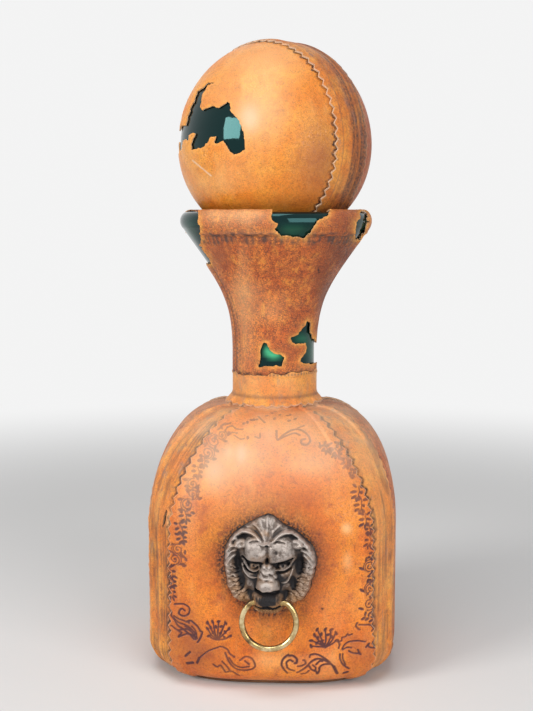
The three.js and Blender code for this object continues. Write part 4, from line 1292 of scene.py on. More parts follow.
@dataclass
class BodyHide:
    """One hide of the body, from the foot up to the neck. A pinked edge lies on the next hide."""

    form: BottleForm
    view: PhotoView
    name: str
    node: str
    slot: str
    left: Edge
    right: Edge
    left_pinked: bool = False
    right_pinked: bool = False
    step: float = 0.8
    seed: int = 1
    clearance: float = 0.3
    thickness: float = 1.1
    thinnest: float = 0.3
    lap_lift: float = 1.2  # extra lift of a pinked edge
    lap: float = 4.0  # degrees
    ramp: float = 2.4
    tucked: float = 7.2  # how far it runs up under the collar
    pinking: Pinking = Pinking()
    covers: list["BodyHide"] = field(default_factory=list)  # hides that lie on this one
    points: np.ndarray = field(init=False, repr=False)  # the bare glass under the grid
    across: np.ndarray = field(init=False, repr=False)  # distance from the left edge
    azimuth: np.ndarray = field(init=False, repr=False)
    length: np.ndarray = field(init=False, repr=False)

    def edge_at(self, ends: Edge, length: np.ndarray) -> np.ndarray:
        """Azimuth of an edge at lengths along the profile, before it is pinked."""
        return ends[0] + (ends[1] - ends[0]) * smooth(length, self.form.dome - 75.0, self.form.dome)

    def lay_out(self) -> None:
        """Lays a grid over the glass and cuts the pinked edges into it."""
        foot, top = self.form.tuck, self.form.dome + self.tucked
        lengths = np.linspace(foot, top, self.pinking.rows(top - foot, self.step))
        girth = np.linspace(self.left[0], self.right[0], 60)
        widest = self.form.surface(girth, np.full(60, foot + 40.0), 0.0)
        count = math.ceil(np.linalg.norm(np.diff(widest, axis=0), axis=1).sum() / self.step) + 1
        share, self.length = np.meshgrid(np.linspace(0.0, 1.0, count), lengths)
        low, high = self.edge_at(self.left, self.length), self.edge_at(self.right, self.length)
        self.azimuth = low + (high - low) * share
        flat = self.form.surface(self.azimuth, self.length, 0.0)
        steps = np.linalg.norm(np.diff(flat, axis=1), axis=2)
        self.across = np.concatenate([np.zeros((len(lengths), 1)), np.cumsum(steps, axis=1)], axis=1)
        per_degree = self.across[:, -1:] / (high - low)
        wave = self.pinking.wave((self.length - foot) / (top - foot), top - foot) * self.pinking.depth / 2
        wander = 0.5 * lattice_noise(self.length[..., None], 22.0, self.seed + 5)
        for edge, sign in ((self.left_pinked, -1), (self.right_pinked, 1)):
            if edge:
                inward = self.across if sign < 0 else self.across[:, -1:] - self.across
                fade = 1.0 - smooth(inward, 0.0, self.pinking.blend)
                self.azimuth = self.azimuth + sign * (wave + wander) * fade / per_degree
        self.points = self.form.surface(self.azimuth, self.length, 0.0)

    def edge_distance(self) -> np.ndarray:
        """Distance from the nearest pinked edge, large where there is none."""
        far = np.full(self.across.shape, FAR)
        if self.left_pinked:
            far = np.minimum(far, self.across)
        if self.right_pinked:
            far = np.minimum(far, self.across[:, -1:] - self.across)
        return far

    def climb(self) -> np.ndarray:
        """How far the hide has climbed onto its neighbours, from 0 to 1."""
        degrees = np.full(self.azimuth.shape, FAR)
        if self.left_pinked:
            degrees = np.minimum(degrees, self.azimuth - self.edge_at(self.left, self.length))
        if self.right_pinked:
            degrees = np.minimum(degrees, self.edge_at(self.right, self.length) - self.azimuth)
        return smooth(degrees, self.lap + self.ramp, self.lap)

    def shape(self) -> tuple[np.ndarray, np.ndarray]:
        """Lift of the flesh side over the glass, and thickness, at each point."""
        edge, climb = self.edge_distance(), self.climb()
        lift = self.clearance + self.lap_lift * climb
        curl = np.maximum(lattice_noise(self.points, 8.0, self.seed + 2), 0.0)
        free = smooth(self.length, self.form.dome - 5.0, self.form.dome - 9.0)
        lift = lift + 0.5 * curl * free * smooth(edge, 3.0, 0.0)
        thick = self.thickness - 0.25 * climb - 0.25 * smooth(edge, 0.8, 0.0)
        thick = thick - 0.7 * smooth(self.length, self.form.tuck + 2.5, self.form.tuck)
        thick = thick + 0.09 * cloud(self.points, 14.0, self.seed, 3) * (1.0 - climb)
        return lift, np.maximum(thick, self.thinnest)

    def painted_edge_shadow(self) -> np.ndarray:
        """Painted shadow in the crack beside each hide that lies on this one, from 0 to 1."""
        dark = np.zeros(self.points.shape[:2])
        reach = np.hypot(self.points[..., 0], self.points[..., 1]) * math.pi / 180.0
        for cover in self.covers:
            for column, sign, pinked in ((0, -1, cover.left_pinked), (-1, 1, cover.right_pinked)):
                if pinked:
                    line = np.interp(self.length, cover.length[:, column], cover.azimuth[:, column])
                    apart = np.mod(self.azimuth - line + 180.0, 360.0) - 180.0
                    outside = sign * apart * reach
                    dark = np.maximum(dark, smooth(outside, 3.0, 1.8) * smooth(outside, -3.0, -1.0))
        return dark * (0.85 + 0.4 * lattice_noise(self.points, 6.0, self.seed + 14))

    def marks(self) -> dict[Mark, np.ndarray]:
        """Marks at each point for the material."""
        edge = self.edge_distance()
        tone = 0.3 * cloud(self.points, 34.0, self.seed + 9, 3)
        # Darker towards the foot.
        burnish = 0.6 * smooth(self.length, self.form.tuck + 6.0, self.form.tuck)
        # Painted shade where the hide runs up under the collar's skirt.
        under = smooth(self.length, self.form.dome + 1.5, self.form.dome + 5.5)
        # Painted sheen: paler towards the shoulders, through the cut colour.
        rubbed = 0.34 + 0.25 * cloud(self.points, 12.0, self.seed + 23, 3)
        haze = rubbed * smooth(self.length, self.form.dome - 52.0, self.form.dome - 12.0)
        return {
            Mark.TONE: tone,
            Mark.BURNISH: np.clip(burnish + 0.4 * under + self.painted_edge_shadow(), 0.0, 1.0),
            Mark.CUT: np.maximum(0.85 * smooth(edge, 0.45, 0.1), haze),
        }

    def holes(self) -> np.ndarray | None:
        """Distance of each point from holes in the hide, if it has any."""
        return None

    def build(self, material: bpy.types.Material) -> None:
        """Makes the hide and puts it in its node's stead.

        Args:
            material: Its finish.
        """
        self.lay_out()
        lift, thick = self.shape()
        grids = [self.form.surface(self.azimuth, self.length, height) for height in (lift + thick, lift)]
        holes = self.holes()
        keep = None if holes is None else tear_away(grids, holes, False)
        piece = shell(self.name, *grids, self.marks(), keep)
        place(piece, self.node, Body.DECANTER, self.slot, material)


@dataclass
class CornerStrip(BodyHide):
    """A corner strip: worn, with upright creases where it was pulled round the corner."""

    creases: int = 11
    slit: Outline | None = None  # a split in the strip, in pixels of the photograph

    def folds(self) -> np.ndarray:
        """Depth of the creases, from 0 to 1."""
        width = self.across[:, -1:]
        share = self.across / width
        deep = np.zeros(share.shape)
        rng = np.random.default_rng(self.seed)
        for middle in np.linspace(0.16, 0.86, self.creases) + rng.uniform(-0.05, 0.05, self.creases):
            along = np.stack([self.length, np.full(self.length.shape, 40.0 * middle)], axis=-1)
            line = middle + 0.055 * cloud(along, 46.0, self.seed + 3, 3)
            strength = smooth(lattice_noise(along, 30.0, self.seed + 4), -0.5, 0.35)
            deep = np.maximum(deep, strength * np.exp(-(((share - line) * width / 0.85) ** 2)))
        return deep

    def shape(self) -> tuple[np.ndarray, np.ndarray]:
        """Lift and thickness, with the creases pressed in."""
        lift, thick = super().shape()
        covered = self.edge_at(self.left if self.right_pinked else self.right, self.length)
        bare = smooth(np.abs(self.azimuth - covered), 4.0, 7.0)
        return lift, np.maximum(thick - 0.55 * self.folds() * bare, self.thinnest)

    def marks(self) -> dict[Mark, np.ndarray]:
        """Marks with painted shade in the creases, stains, a pale patch beside the slit, and painted light on
        the front strip without one.
        """
        marks = super().marks()
        plan = np.stack([2.4 * self.across, 0.4 * self.length], axis=-1)
        stains = 0.5 * smooth(cloud(plan, 7.0, self.seed + 19, 4), 0.12, 0.6)
        # Painted shade in the creases.
        creased = self.folds() * (0.55 + 0.5 * lattice_noise(self.points, 5.0, self.seed + 8))
        marks[Mark.FOLD] = np.maximum(creased, stains)
        if self.azimuth.min() > -90.0 and self.azimuth.max() < 90.0:
            # A pale patch beside the slit; on the front strip without one, painted light.
            worn = SLIT_TONES if self.slit else STRIP_PAINTED_LIGHT
            marks[Mark.TONE] = marks[Mark.TONE] + self.view.spots(self.points, worn)
        return marks

    def holes(self) -> np.ndarray | None:
        """Distance from the slit, if the strip has one."""
        return self.view.tear_gap(self.points, [self.slit], 0.15, self.seed) if self.slit else None


class Motif(Enum):
    """What a border repeats."""

    SCROLL = "scroll"
    SPRAY = "spray"


# Tooling of the front hide, as it shows in the photograph's pixels

TOOLED_LINES: list[tuple[float, Outline]] = [  # width in millimetres, then places
    # lower left leaf
    (0.55, [(172, 603.5), (175, 612.5), (180.5, 623), (189, 631.5), (197, 636)]),
    (0.5, [
        (178, 603), (185, 603), (191, 607), (190.5, 613), (185.5, 615.5), (182, 612), (184, 608),
        (187, 610),
    ]),
    (0.45, [(176.5, 616.5), (183, 622), (191, 626.5), (197.5, 633.5)]),
    (0.45, [(175, 624.5), (181, 628.5), (188, 628.5), (193.5, 631.5), (197.5, 638.5)]),
    (0.45, [(181, 629.5), (184, 631.5), (182, 635.5), (187, 633.5), (191, 633.5), (195.5, 638.5)]),
    (0.55, [
        (188, 621), (192, 620), (195.5, 622), (199.5, 625.5), (201.5, 630.5), (203.5, 631.5),
        (201.5, 637.5), (199.5, 641.5),
    ]),
    (0.42, [(193.5, 625.5), (197.5, 630.5), (198.5, 637.5)]),
    (0.42, [(187, 625.5), (195.5, 630.5), (197, 637.5)]),
    (0.42, [(177.5, 615), (184.5, 619.5), (191, 622)]),
    (0.6, [(187, 655), (192, 651)]),
    (0.8, [(189, 661.5), (194.5, 661)]),
    (0.7, [(199, 661.5), (200.5, 657)]),
    (0.36, [(200.5, 657), (209.5, 650), (220, 646)]),
    # lower left scroll
    (0.5, [(221, 645.5), (225, 646.5), (229, 649), (231, 653), (235, 656)]),
    (0.5, [
        (226, 652), (230, 661), (237, 667), (246.5, 668.5), (252.5, 667), (255.5, 664), (252.5, 658),
        (246.5, 655.5), (241, 659),
    ]),
    (0.42, [(230, 657), (235, 663), (242, 666), (249.5, 665)]),
    (0.5, [(245.5, 660), (249.5, 663)]),
    (0.5, [
        (214.5, 663), (218, 665), (222, 664), (225, 668), (227, 670), (232, 669), (238, 672),
        (240, 673),
    ]),
    (0.45, [(223.5, 660), (228, 665.5), (231.5, 669.5)]),
    # lower right scroll
    (0.55, [(288, 653.5), (283.5, 658), (281.5, 663), (283, 667), (287, 671)]),
    (0.6, [(288, 655), (292.5, 655), (296, 658), (296, 661.5), (294, 662)]),
    (0.5, [(286.5, 665), (286.5, 661.5), (289.5, 659), (292.5, 660.5)]),
    (0.5, [(287, 666), (289.5, 668), (294, 669)]),
    (0.5, [(297, 665), (301, 664.5), (305, 662), (304, 659), (302.5, 659)]),
    (0.55, [
        (296.5, 670.5), (302, 668), (306.5, 664.5), (311, 660.5), (316.5, 658), (324, 659.5),
        (330, 663), (333, 666), (335.5, 670.5),
    ]),
    (0.5, [(309, 656), (310, 653.5), (316.5, 653.5), (324, 657.5), (328.5, 661)]),
    (0.5, [(300.5, 672), (305, 671), (308, 669)]),
    (0.55, [(308.5, 665), (311, 668), (315, 669.5), (316.5, 672), (318.5, 669), (318, 666.5)]),
    (0.5, [(315.5, 663), (318.5, 660.5), (321.5, 660)]),
    (0.5, [(318.5, 668), (320, 665), (324, 663), (328.5, 663)]),
    (0.45, [(312, 664), (315, 666.5), (314, 669.5)]),
    (0.85, [(333, 665), (336, 671)]),
    # lower right arcs
    (0.42, [(341, 648.5), (343, 644.5), (347.5, 641), (355.5, 639.5), (361.5, 640)]),
    (0.42, [(341.5, 648.5), (345.5, 646.5), (350, 646.5)]),
    (0.5, [(338.5, 653), (338.5, 657.5), (341.5, 663), (347.5, 666.5)]),
    (0.42, [(341.5, 653), (341.5, 657.5), (344, 663)]),
    (0.85, [(342.5, 671), (346, 669.5)]),
    (0.45, [(336.5, 640.5), (338, 643.5), (337.5, 647.5)]),
    (0.45, [(336, 641), (340, 640), (341, 637), (344, 636), (346, 633), (347.5, 634.5), (350.5, 633)]),
    (0.45, [(347, 650), (351, 652), (357.5, 652.5)]),
    (0.45, [(356, 648.5), (357.5, 653)]),
    (0.5, [
        (361.5, 645), (364.5, 641.5), (364, 644.5), (368.5, 645), (369, 641.5), (367, 640),
        (370.5, 636), (373.5, 633.5),
    ]),
    (0.5, [(357.5, 628.5), (354.5, 625.5), (355.5, 622)]),
    (0.5, [(357.5, 624), (365.5, 623.5), (368.5, 626), (367.5, 628.5)]),
    # top
    (0.55, [
        (276.5, 432), (277.5, 441), (283.5, 436), (291.5, 431.5), (300, 431.5), (307, 436), (309.5, 442),
        (306, 446), (301.5, 445), (301, 441.5), (304.5, 440),
    ]),
    (0.45, [(278, 441), (286, 437.5), (294, 434.5), (299.5, 436.5)]),
    (0.36, [(297.5, 429.5), (303.5, 427.5)]),
    (0.5, [(259, 419), (265, 424.5)]),
    (0.42, [(220, 432), (224.5, 427.5), (231.5, 425)]),
    (0.42, [(226, 433.5), (228, 429.5), (233, 428), (237.5, 430.5), (243.5, 431)]),
    (0.36, [(235, 436.5), (241, 440.5), (245, 440)]),
    (0.36, [(229, 437), (233, 434), (238, 434.5)]),
    (0.4, [(255.5, 438), (260, 439), (260.5, 435)]),
    (0.4, [(283, 411.5), (287.5, 413)]),
    (0.5, [(318.5, 444), (319.5, 448.5)]),
    (0.5, [(322.5, 446.5), (329.5, 445)]),
    (0.5, [(321, 451.5), (327, 452)]),
    (0.5, [(330.5, 450), (329.5, 455)]),
    (0.5, [(333, 444), (338, 446.5), (336.5, 454.5)]),
    (0.5, [(331, 458), (334, 455.5)]),
    (0.5, [(337.5, 460), (341, 461.5)]),
    (0.5, [(345, 461), (347, 466)]),
    # small trees
    (0.42, [(218.5, 639), (214, 631), (209.5, 622)]),
    (0.42, [(218.5, 639), (216, 630), (214.5, 622)]),
    (0.42, [(218.5, 639), (219, 630), (220, 622)]),
    (0.42, [(219, 639), (223, 630), (226, 622.5)]),
    (0.42, [(219, 639), (225, 633), (229.5, 628.5)]),
    (0.42, [(219, 639), (226, 638), (230.5, 635.5)]),
    (0.42, [(218, 639), (213, 634), (209.5, 628.5)]),
    (0.42, [(218, 639), (214, 638), (210.5, 635.5)]),
    (0.42, [(323.5, 646.5), (320.5, 639), (317, 630)]),
    (0.42, [(323.5, 646.5), (319, 641), (314, 635)]),
    (0.42, [(323.5, 646.5), (317.5, 643), (311, 640)]),
    (0.42, [(323.5, 646.5), (316.5, 646), (310.5, 645)]),
    (0.42, [(323.5, 646.5), (324.5, 638), (324, 630)]),
    (0.42, [(324, 646.5), (328.5, 638), (329.5, 630)]),
    (0.42, [(324, 646.5), (330.5, 640), (334.5, 632.5)]),
    (0.42, [(324, 646.5), (330, 643.5), (335, 640)]),
]
TOOLED_DABS: list[tuple[float, float, Outline]] = [  # heading, length in millimetres, places
    (75, 1.4, [
        (209, 621.5), (214, 621), (220, 621), (226.5, 622), (230, 628), (231, 635.5), (209, 628), (210, 635),
        (212, 627), (217, 626), (222.5, 626), (226, 631.5), (214.5, 632), (221.5, 632.5), (225.5, 637),
    ]),
    (60, 1.7, [
        (316.5, 628.5), (313.5, 634), (310.5, 639.5), (310, 645), (324, 628.5), (330, 629), (335, 632),
        (335.5, 639.5), (320, 633.5), (317, 637), (327, 634), (331, 636), (321, 640), (316, 642),
    ]),
    (50, 1.3, [
        (244.5, 425.5), (248, 424), (252, 422), (254.5, 421.5), (257, 421.5), (267, 418), (272, 415.5),
        (275.5, 414), (280, 417), (274.5, 420.5), (288, 417.5), (290, 417), (289, 422.5), (295, 421),
        (248.5, 439),
    ]),
    (35, 1.9, [(360, 617), (365, 613), (369, 616), (362, 612.5), (363.5, 618), (367, 619.5)]),
    (80, 1.8, [
        (187, 552), (187.5, 558.5), (186.5, 565), (171, 553), (202.5, 447), (199.5, 487), (199, 496),
    ]),
]
LEFT_BORDER: list[tuple[Motif, float, float, float]] = [  # motif, place and size in millimetres
    (Motif.SCROLL, 223, 436.5, 2.2), (Motif.SCROLL, 216, 442.5, 3), (Motif.SCROLL, 209.5, 454, 2.7),
    (Motif.SPRAY, 205.5, 462.5, 2.6), (Motif.SPRAY, 200, 472.5, 2.6), (Motif.SCROLL, 195, 484.5, 2.4),
    (Motif.SCROLL, 194, 494, 2.6), (Motif.SCROLL, 190, 505, 2.7), (Motif.SPRAY, 187, 516, 3),
    (Motif.SPRAY, 183.5, 528, 2.8), (Motif.SPRAY, 184.5, 538, 2.6), (Motif.SCROLL, 181, 548.5, 2.5),
    (Motif.SCROLL, 178, 558.5, 2.6), (Motif.SPRAY, 176, 571.5, 3.2), (Motif.SPRAY, 177, 582, 2.4),
    (Motif.SPRAY, 176.5, 592.5, 3),
]
RIGHT_BORDER: list[tuple[Motif, float, float, float]] = [  # motif, place and size in millimetres
    (Motif.SPRAY, 325, 449, 2.4), (Motif.SPRAY, 335, 453.5, 2.4), (Motif.SPRAY, 344, 463.5, 2.4),
    (Motif.SPRAY, 349.5, 474, 1.8), (Motif.SPRAY, 355, 493, 3), (Motif.SPRAY, 357.5, 506, 3),
    (Motif.SPRAY, 362, 519.5, 3), (Motif.SPRAY, 366, 529, 2.2), (Motif.SPRAY, 366.5, 540, 3),
    (Motif.SPRAY, 368, 553.5, 2.4), (Motif.SCROLL, 365, 565, 2.5), (Motif.SPRAY, 368, 576, 2.6),
    (Motif.SCROLL, 367, 587.5, 2.7), (Motif.SCROLL, 365.5, 601.5, 2.9),
]


class ScrollTool:
    """Traditional scrollwork, drawn as pressed strokes on a flat plan in millimetres.

    Points of the plan are complex numbers: across, then up.
    """

    def __init__(self) -> None:
        """Starts with no strokes."""
        self.strokes: list[tuple[np.ndarray, float]] = []

    def stroke(self, points: np.ndarray, width: float = 0.42) -> None:
        """Adds one line of a given width."""
        self.strokes.append((np.asarray(points), width))

    def dab(self, base: complex, tip: complex) -> None:
        """Adds a filled leaf that is fullest in its middle."""
        way = tip - base
        for start, end, width in ((0.0, 0.4, 0.75), (0.3, 0.7, 1.35), (0.6, 1.0, 0.8)):
            self.stroke(np.array([base + start * way, base + end * way]), width)

    def scroll(self, middle: complex, radius: float, heading: float, hand: int) -> None:
        """Adds a spiral with a second arc round it and leaves about it.

        Args:
            middle: Its middle.
            radius: Where the spiral starts.
            heading: Angle of its first point in degrees.
            hand: 1 winds to the left, -1 to the right.
        """
        share = np.linspace(0.0, 1.0, 26)
        angle = math.radians(heading) + hand * 3.3 * math.pi * share
        self.stroke(middle + (radius * (1.0 - share) ** 0.9 + 0.3) * np.exp(1j * angle), 0.48)
        around = math.radians(heading) + hand * np.linspace(0.9, 3.4, 10)
        self.stroke(middle + 1.32 * radius * np.exp(1j * around), 0.42)
        self.stroke(np.array([middle - 0.05, middle + 0.05]), 0.7)
        for turn in (-0.4, 1.2, 2.5, 3.9):
            out = np.exp(1j * (math.radians(heading) + hand * turn))
            self.dab(middle + 1.5 * radius * out, middle + (1.5 * radius + 1.2) * out * np.exp(0.3j * hand))

    def spray(self, middle: complex, size: float, heading: float, seed: int) -> None:
        """Adds a stalk with pairs of leaves and one at its tip.

        Args:
            middle: Its middle.
            size: Half the length of the stalk.
            heading: Its direction in degrees.
            seed: Makes each spray a little different.
        """
        way = size * np.exp(1j * math.radians(heading))
        rng = np.random.default_rng(seed)
        self.stroke(smooth_curve([middle - way, middle + 0.18j * way, middle + way], 5), 0.46)
        for share, fan in ((-0.8, 1.9), (-0.25, 1.35), (0.3, 0.9)):
            for side in (-1, 1):
                base = middle + way * share
                leaf = way * np.exp(1j * side * fan) * rng.uniform(0.85, 1.15)
                self.dab(base + 0.35 * leaf, base + leaf)
        self.dab(middle + 0.75 * way, middle + 1.3 * way)

    def engraved(self, across: np.ndarray, up: np.ndarray) -> np.ndarray:
        """How deep the strokes press.

        Args:
            across: Place across the plan of each grid point, rising along each row.
            up: Place up the plan of each row, rising.

        Returns:
            From 0, untouched, to 1, in the middle of a stroke.
        """
        near = np.full(across.shape, 9.0)
        for points, width in self.strokes:
            margin = width + 0.6
            for start, end in zip(points[:-1], points[1:]):
                low = np.searchsorted(up, min(start.imag, end.imag) - margin)
                high = np.searchsorted(up, max(start.imag, end.imag) + margin)
                if low >= high:
                    continue
                ends = across[[low, high - 1]]
                left = min(np.searchsorted(row, min(start.real, end.real) - margin) for row in ends)
                right = max(np.searchsorted(row, max(start.real, end.real) + margin) for row in ends)
                if left >= right:
                    continue
                spot = across[low:high, left:right] + 1j * up[low:high, None]
                way = end - start
                share = np.clip(((spot - start) * np.conj(way)).real / max(abs(way) ** 2, 1e-9), 0.0, 1.0)
                gap = np.abs(spot - start - share * way) - width / 2
                np.minimum(near[low:high, left:right], gap, out=near[low:high, left:right])
        return smooth(near, 0.2, -0.1)


@dataclass
class FrontHide(BodyHide):
    """The front hide, with tooled borders and the dark ring that polish left round the mask."""

    mask_height: float = 66.0
    mask_reach: float = 23.0
    tooled: np.ndarray = field(init=False, repr=False)

    def plan(self, spots: list[Pixel]) -> list[complex]:
        """Finds where on the hide's plan the pixels of the photograph lie.

        Args:
            spots: Pixels across and down.

        Returns:
            Distance from the middle line and length up the hide, for each pixel.
        """
        across, down = self.view.project(self.points)
        middle = self.across - self.across[:, [self.across.shape[1] // 2]]
        up = self.length - self.form.tuck
        nearest = [np.argmin((across - x) ** 2 + (down - y) ** 2) for x, y in spots]
        return [complex(middle.flat[index], up.flat[index]) for index in nearest]

    def scrollwork(self) -> np.ndarray:
        """Presses the borders and corner scrolls, and returns how deep they are."""
        drawn = ScrollTool()
        for width, line in TOOLED_LINES:
            drawn.stroke(smooth_curve(self.plan(line), 6), 1.9 * width)
        for heading, size, spots in TOOLED_DABS:
            for index, spot in enumerate(self.plan(spots)):
                way = 0.5 * size * np.exp(1j * math.radians(heading + 55.0 * math.sin(2.4 * index)))
                drawn.dab(spot - way, spot + way)
        for border, hand in ((LEFT_BORDER, 1), (RIGHT_BORDER, -1)):
            places = np.array(self.plan([(x, y) for _, x, y, _ in border]))
            ways = np.degrees(np.angle(np.gradient(places)))
            for index, (motif, _, _, size) in enumerate(border):
                if motif is Motif.SCROLL:
                    drawn.scroll(places[index], size, ways[index] + 180.0 * (index % 2), hand)
                else:
                    drawn.spray(places[index], size, ways[index] + 25.0 * hand, index)
        middle = self.across - self.across[:, [self.across.shape[1] // 2]]
        return drawn.engraved(middle, self.length[:, 0] - self.form.tuck)

    def lay_out(self) -> None:
        """Lays the grid and presses the scrollwork."""
        super().lay_out()
        worn = smooth(cloud(self.points, 9.0, self.seed + 21, 4), -0.6, 0.2)
        high = smooth(self.length, self.form.dome - 70.0, self.form.dome - 30.0)
        self.tooled = self.scrollwork() * (0.75 + 0.25 * worn) * (1.0 - 0.3 * high)

    def shape(self) -> tuple[np.ndarray, np.ndarray]:
        """Lift and thickness, with the tooling pressed in and the lower right edge sprung open."""
        lift, thick = super().shape()
        sprung = smooth(self.azimuth, self.right[0] - 7.0, self.right[0]) * np.exp(
            -(((self.length - self.form.tuck - 22.0) / 13.0) ** 2)
        )
        return lift + 1.5 * sprung, np.maximum(thick - 0.26 * self.tooled, self.thinnest)

    def marks(self) -> dict[Mark, np.ndarray]:
        """Marks with the tooling, tone spots, painted sheen, painted shade beneath the mask, and the ring
        round the mask.
        """
        marks = super().marks()
        out = np.hypot(self.points[..., 0], self.points[..., 2] - self.mask_height) - self.mask_reach
        above = smooth(self.points[..., 2], self.mask_height - 14.0, self.mask_height + 16.0)
        ragged = cloud(self.points, 5.0, self.seed + 12, 4)
        halo = np.exp(-np.maximum(out + 2.2 * ragged, 0.0) / (2.1 + 2.6 * above)) * (0.62 + 0.38 * above)
        haze = 0.3 * np.exp(-((np.maximum(out, 0.0) / 11.0) ** 2)) * (0.7 + 0.8 * ragged)
        marks[Mark.BURNISH] = np.clip(marks[Mark.BURNISH] + halo + np.maximum(haze, 0.0), 0.0, 1.0)
        # Tone spots, with painted sheen at the upper left and along the top.
        marks[Mark.TONE] = marks[Mark.TONE] + self.view.spots(self.points, FRONT_TONES_AND_SHEEN)
        stains = self.view.spots(self.points, FRONT_STAINS_AND_SHADE)
        marks[Mark.BURNISH] = np.clip(marks[Mark.BURNISH] + stains, 0.0, 1.0)
        # Painted sheen at the upper left, through the cut colour.
        sheen = self.view.spots(self.points, FRONT_SHEEN)
        marks[Mark.CUT] = np.clip(marks[Mark.CUT] + sheen, 0.0, 1.0)
        marks[Mark.TOOLING] = self.tooled
        return marks


@dataclass
class BodyHides:
    """The eight hides of the body: a front, a back, two sides and four corner strips."""

    form: BottleForm
    view: PhotoView
    front_seam: Edge = (41.5, 34.0)
    skew: float = 2.0  # degrees that the front hide reaches farther round on the right
    strip_seam: Edge = (61.0, 63.0)
    covered: float = 4.5  # degrees that a hide runs on under a pinked edge

    @staticmethod
    def moved(edge: Edge, by: float = 0.0, turn: float = 0.0, sign: int = 1) -> Edge:
        """An edge set over by some degrees, mirrored for a sign of -1 and turned to another side."""
        return tuple(turn + sign * (part + by) for part in edge)

    def build(self, finishes: Finishes) -> None:
        """Makes the hides.

        Args:
            finishes: The materials.
        """
        moved, inner, outer, under = self.moved, self.front_seam, self.strip_seam, self.covered
        faces: list[BodyHide] = []
        strips: list[BodyHide] = []
        for kind, name, node, turn, step, seed in (
            (FrontHide, "front_hide", "front_panel", 0.0, 0.33, 11),
            (BodyHide, "back_hide", "back_panel", 180.0, 0.8, 23),
        ):
            farther = self.skew if kind is FrontHide else 0.0
            left, right = moved(inner, 0.0, turn, -1), moved(inner, farther, turn)
            hide = kind(
                self.form, self.view, name, node, "tan_leather", left, right, True, True, step=step, seed=seed
            )
            hide.build(finishes.tan)
            faces.append(hide)
        for name, node, turn, sign, cut, seed in (
            ("front_right_corner", "front_right_strip", 0.0, 1, None, 53),
            ("front_left_corner", "front_left_strip", 0.0, -1, STRIP_SLIT, 61),
            ("back_left_corner", "back_left_strip", 180.0, 1, None, 71),
            ("back_right_corner", "back_right_strip", 180.0, -1, None, 83),
        ):
            farther = self.skew if turn == 0.0 and sign > 0 else 0.0
            near, far = moved(inner, farther - under, turn, sign), moved(outer, 0.0, turn, sign)
            left, right = (near, far) if sign > 0 else (far, near)
            strip = CornerStrip(
                self.form, self.view, name, node, "strip_leather", left, right, sign < 0, sign > 0,
                step=0.55, seed=seed, slit=cut, covers=[faces[0] if turn == 0.0 else faces[1]],
            )
            strip.build(finishes.strip)
            strips.append(strip)
        for name, node, turn, nearby, seed in (
            ("right_hide", "right_panel", 90.0, [strips[0], strips[3]], 37),
            ("left_hide", "left_panel", 270.0, [strips[1], strips[2]], 41),
        ):
            half = moved(outer, -under - 90.0, 0.0, -1)
            left, right = moved(half, 0.0, turn, -1), moved(half, 0.0, turn)
            BodyHide(
                self.form, self.view, name, node, "russet_leather", left, right, seed=seed, covers=nearby
            ).build(finishes.russet)


# Hides of the neck


def pricks(along: np.ndarray, across: np.ndarray, pitch: float, radius: float) -> np.ndarray:
    """A row of needle holes, at distances along it and away from it: 1 in the middle of a hole."""
    beside = np.mod(along, pitch) - pitch / 2
    return np.exp(-((beside**2 + across**2) / radius**2))


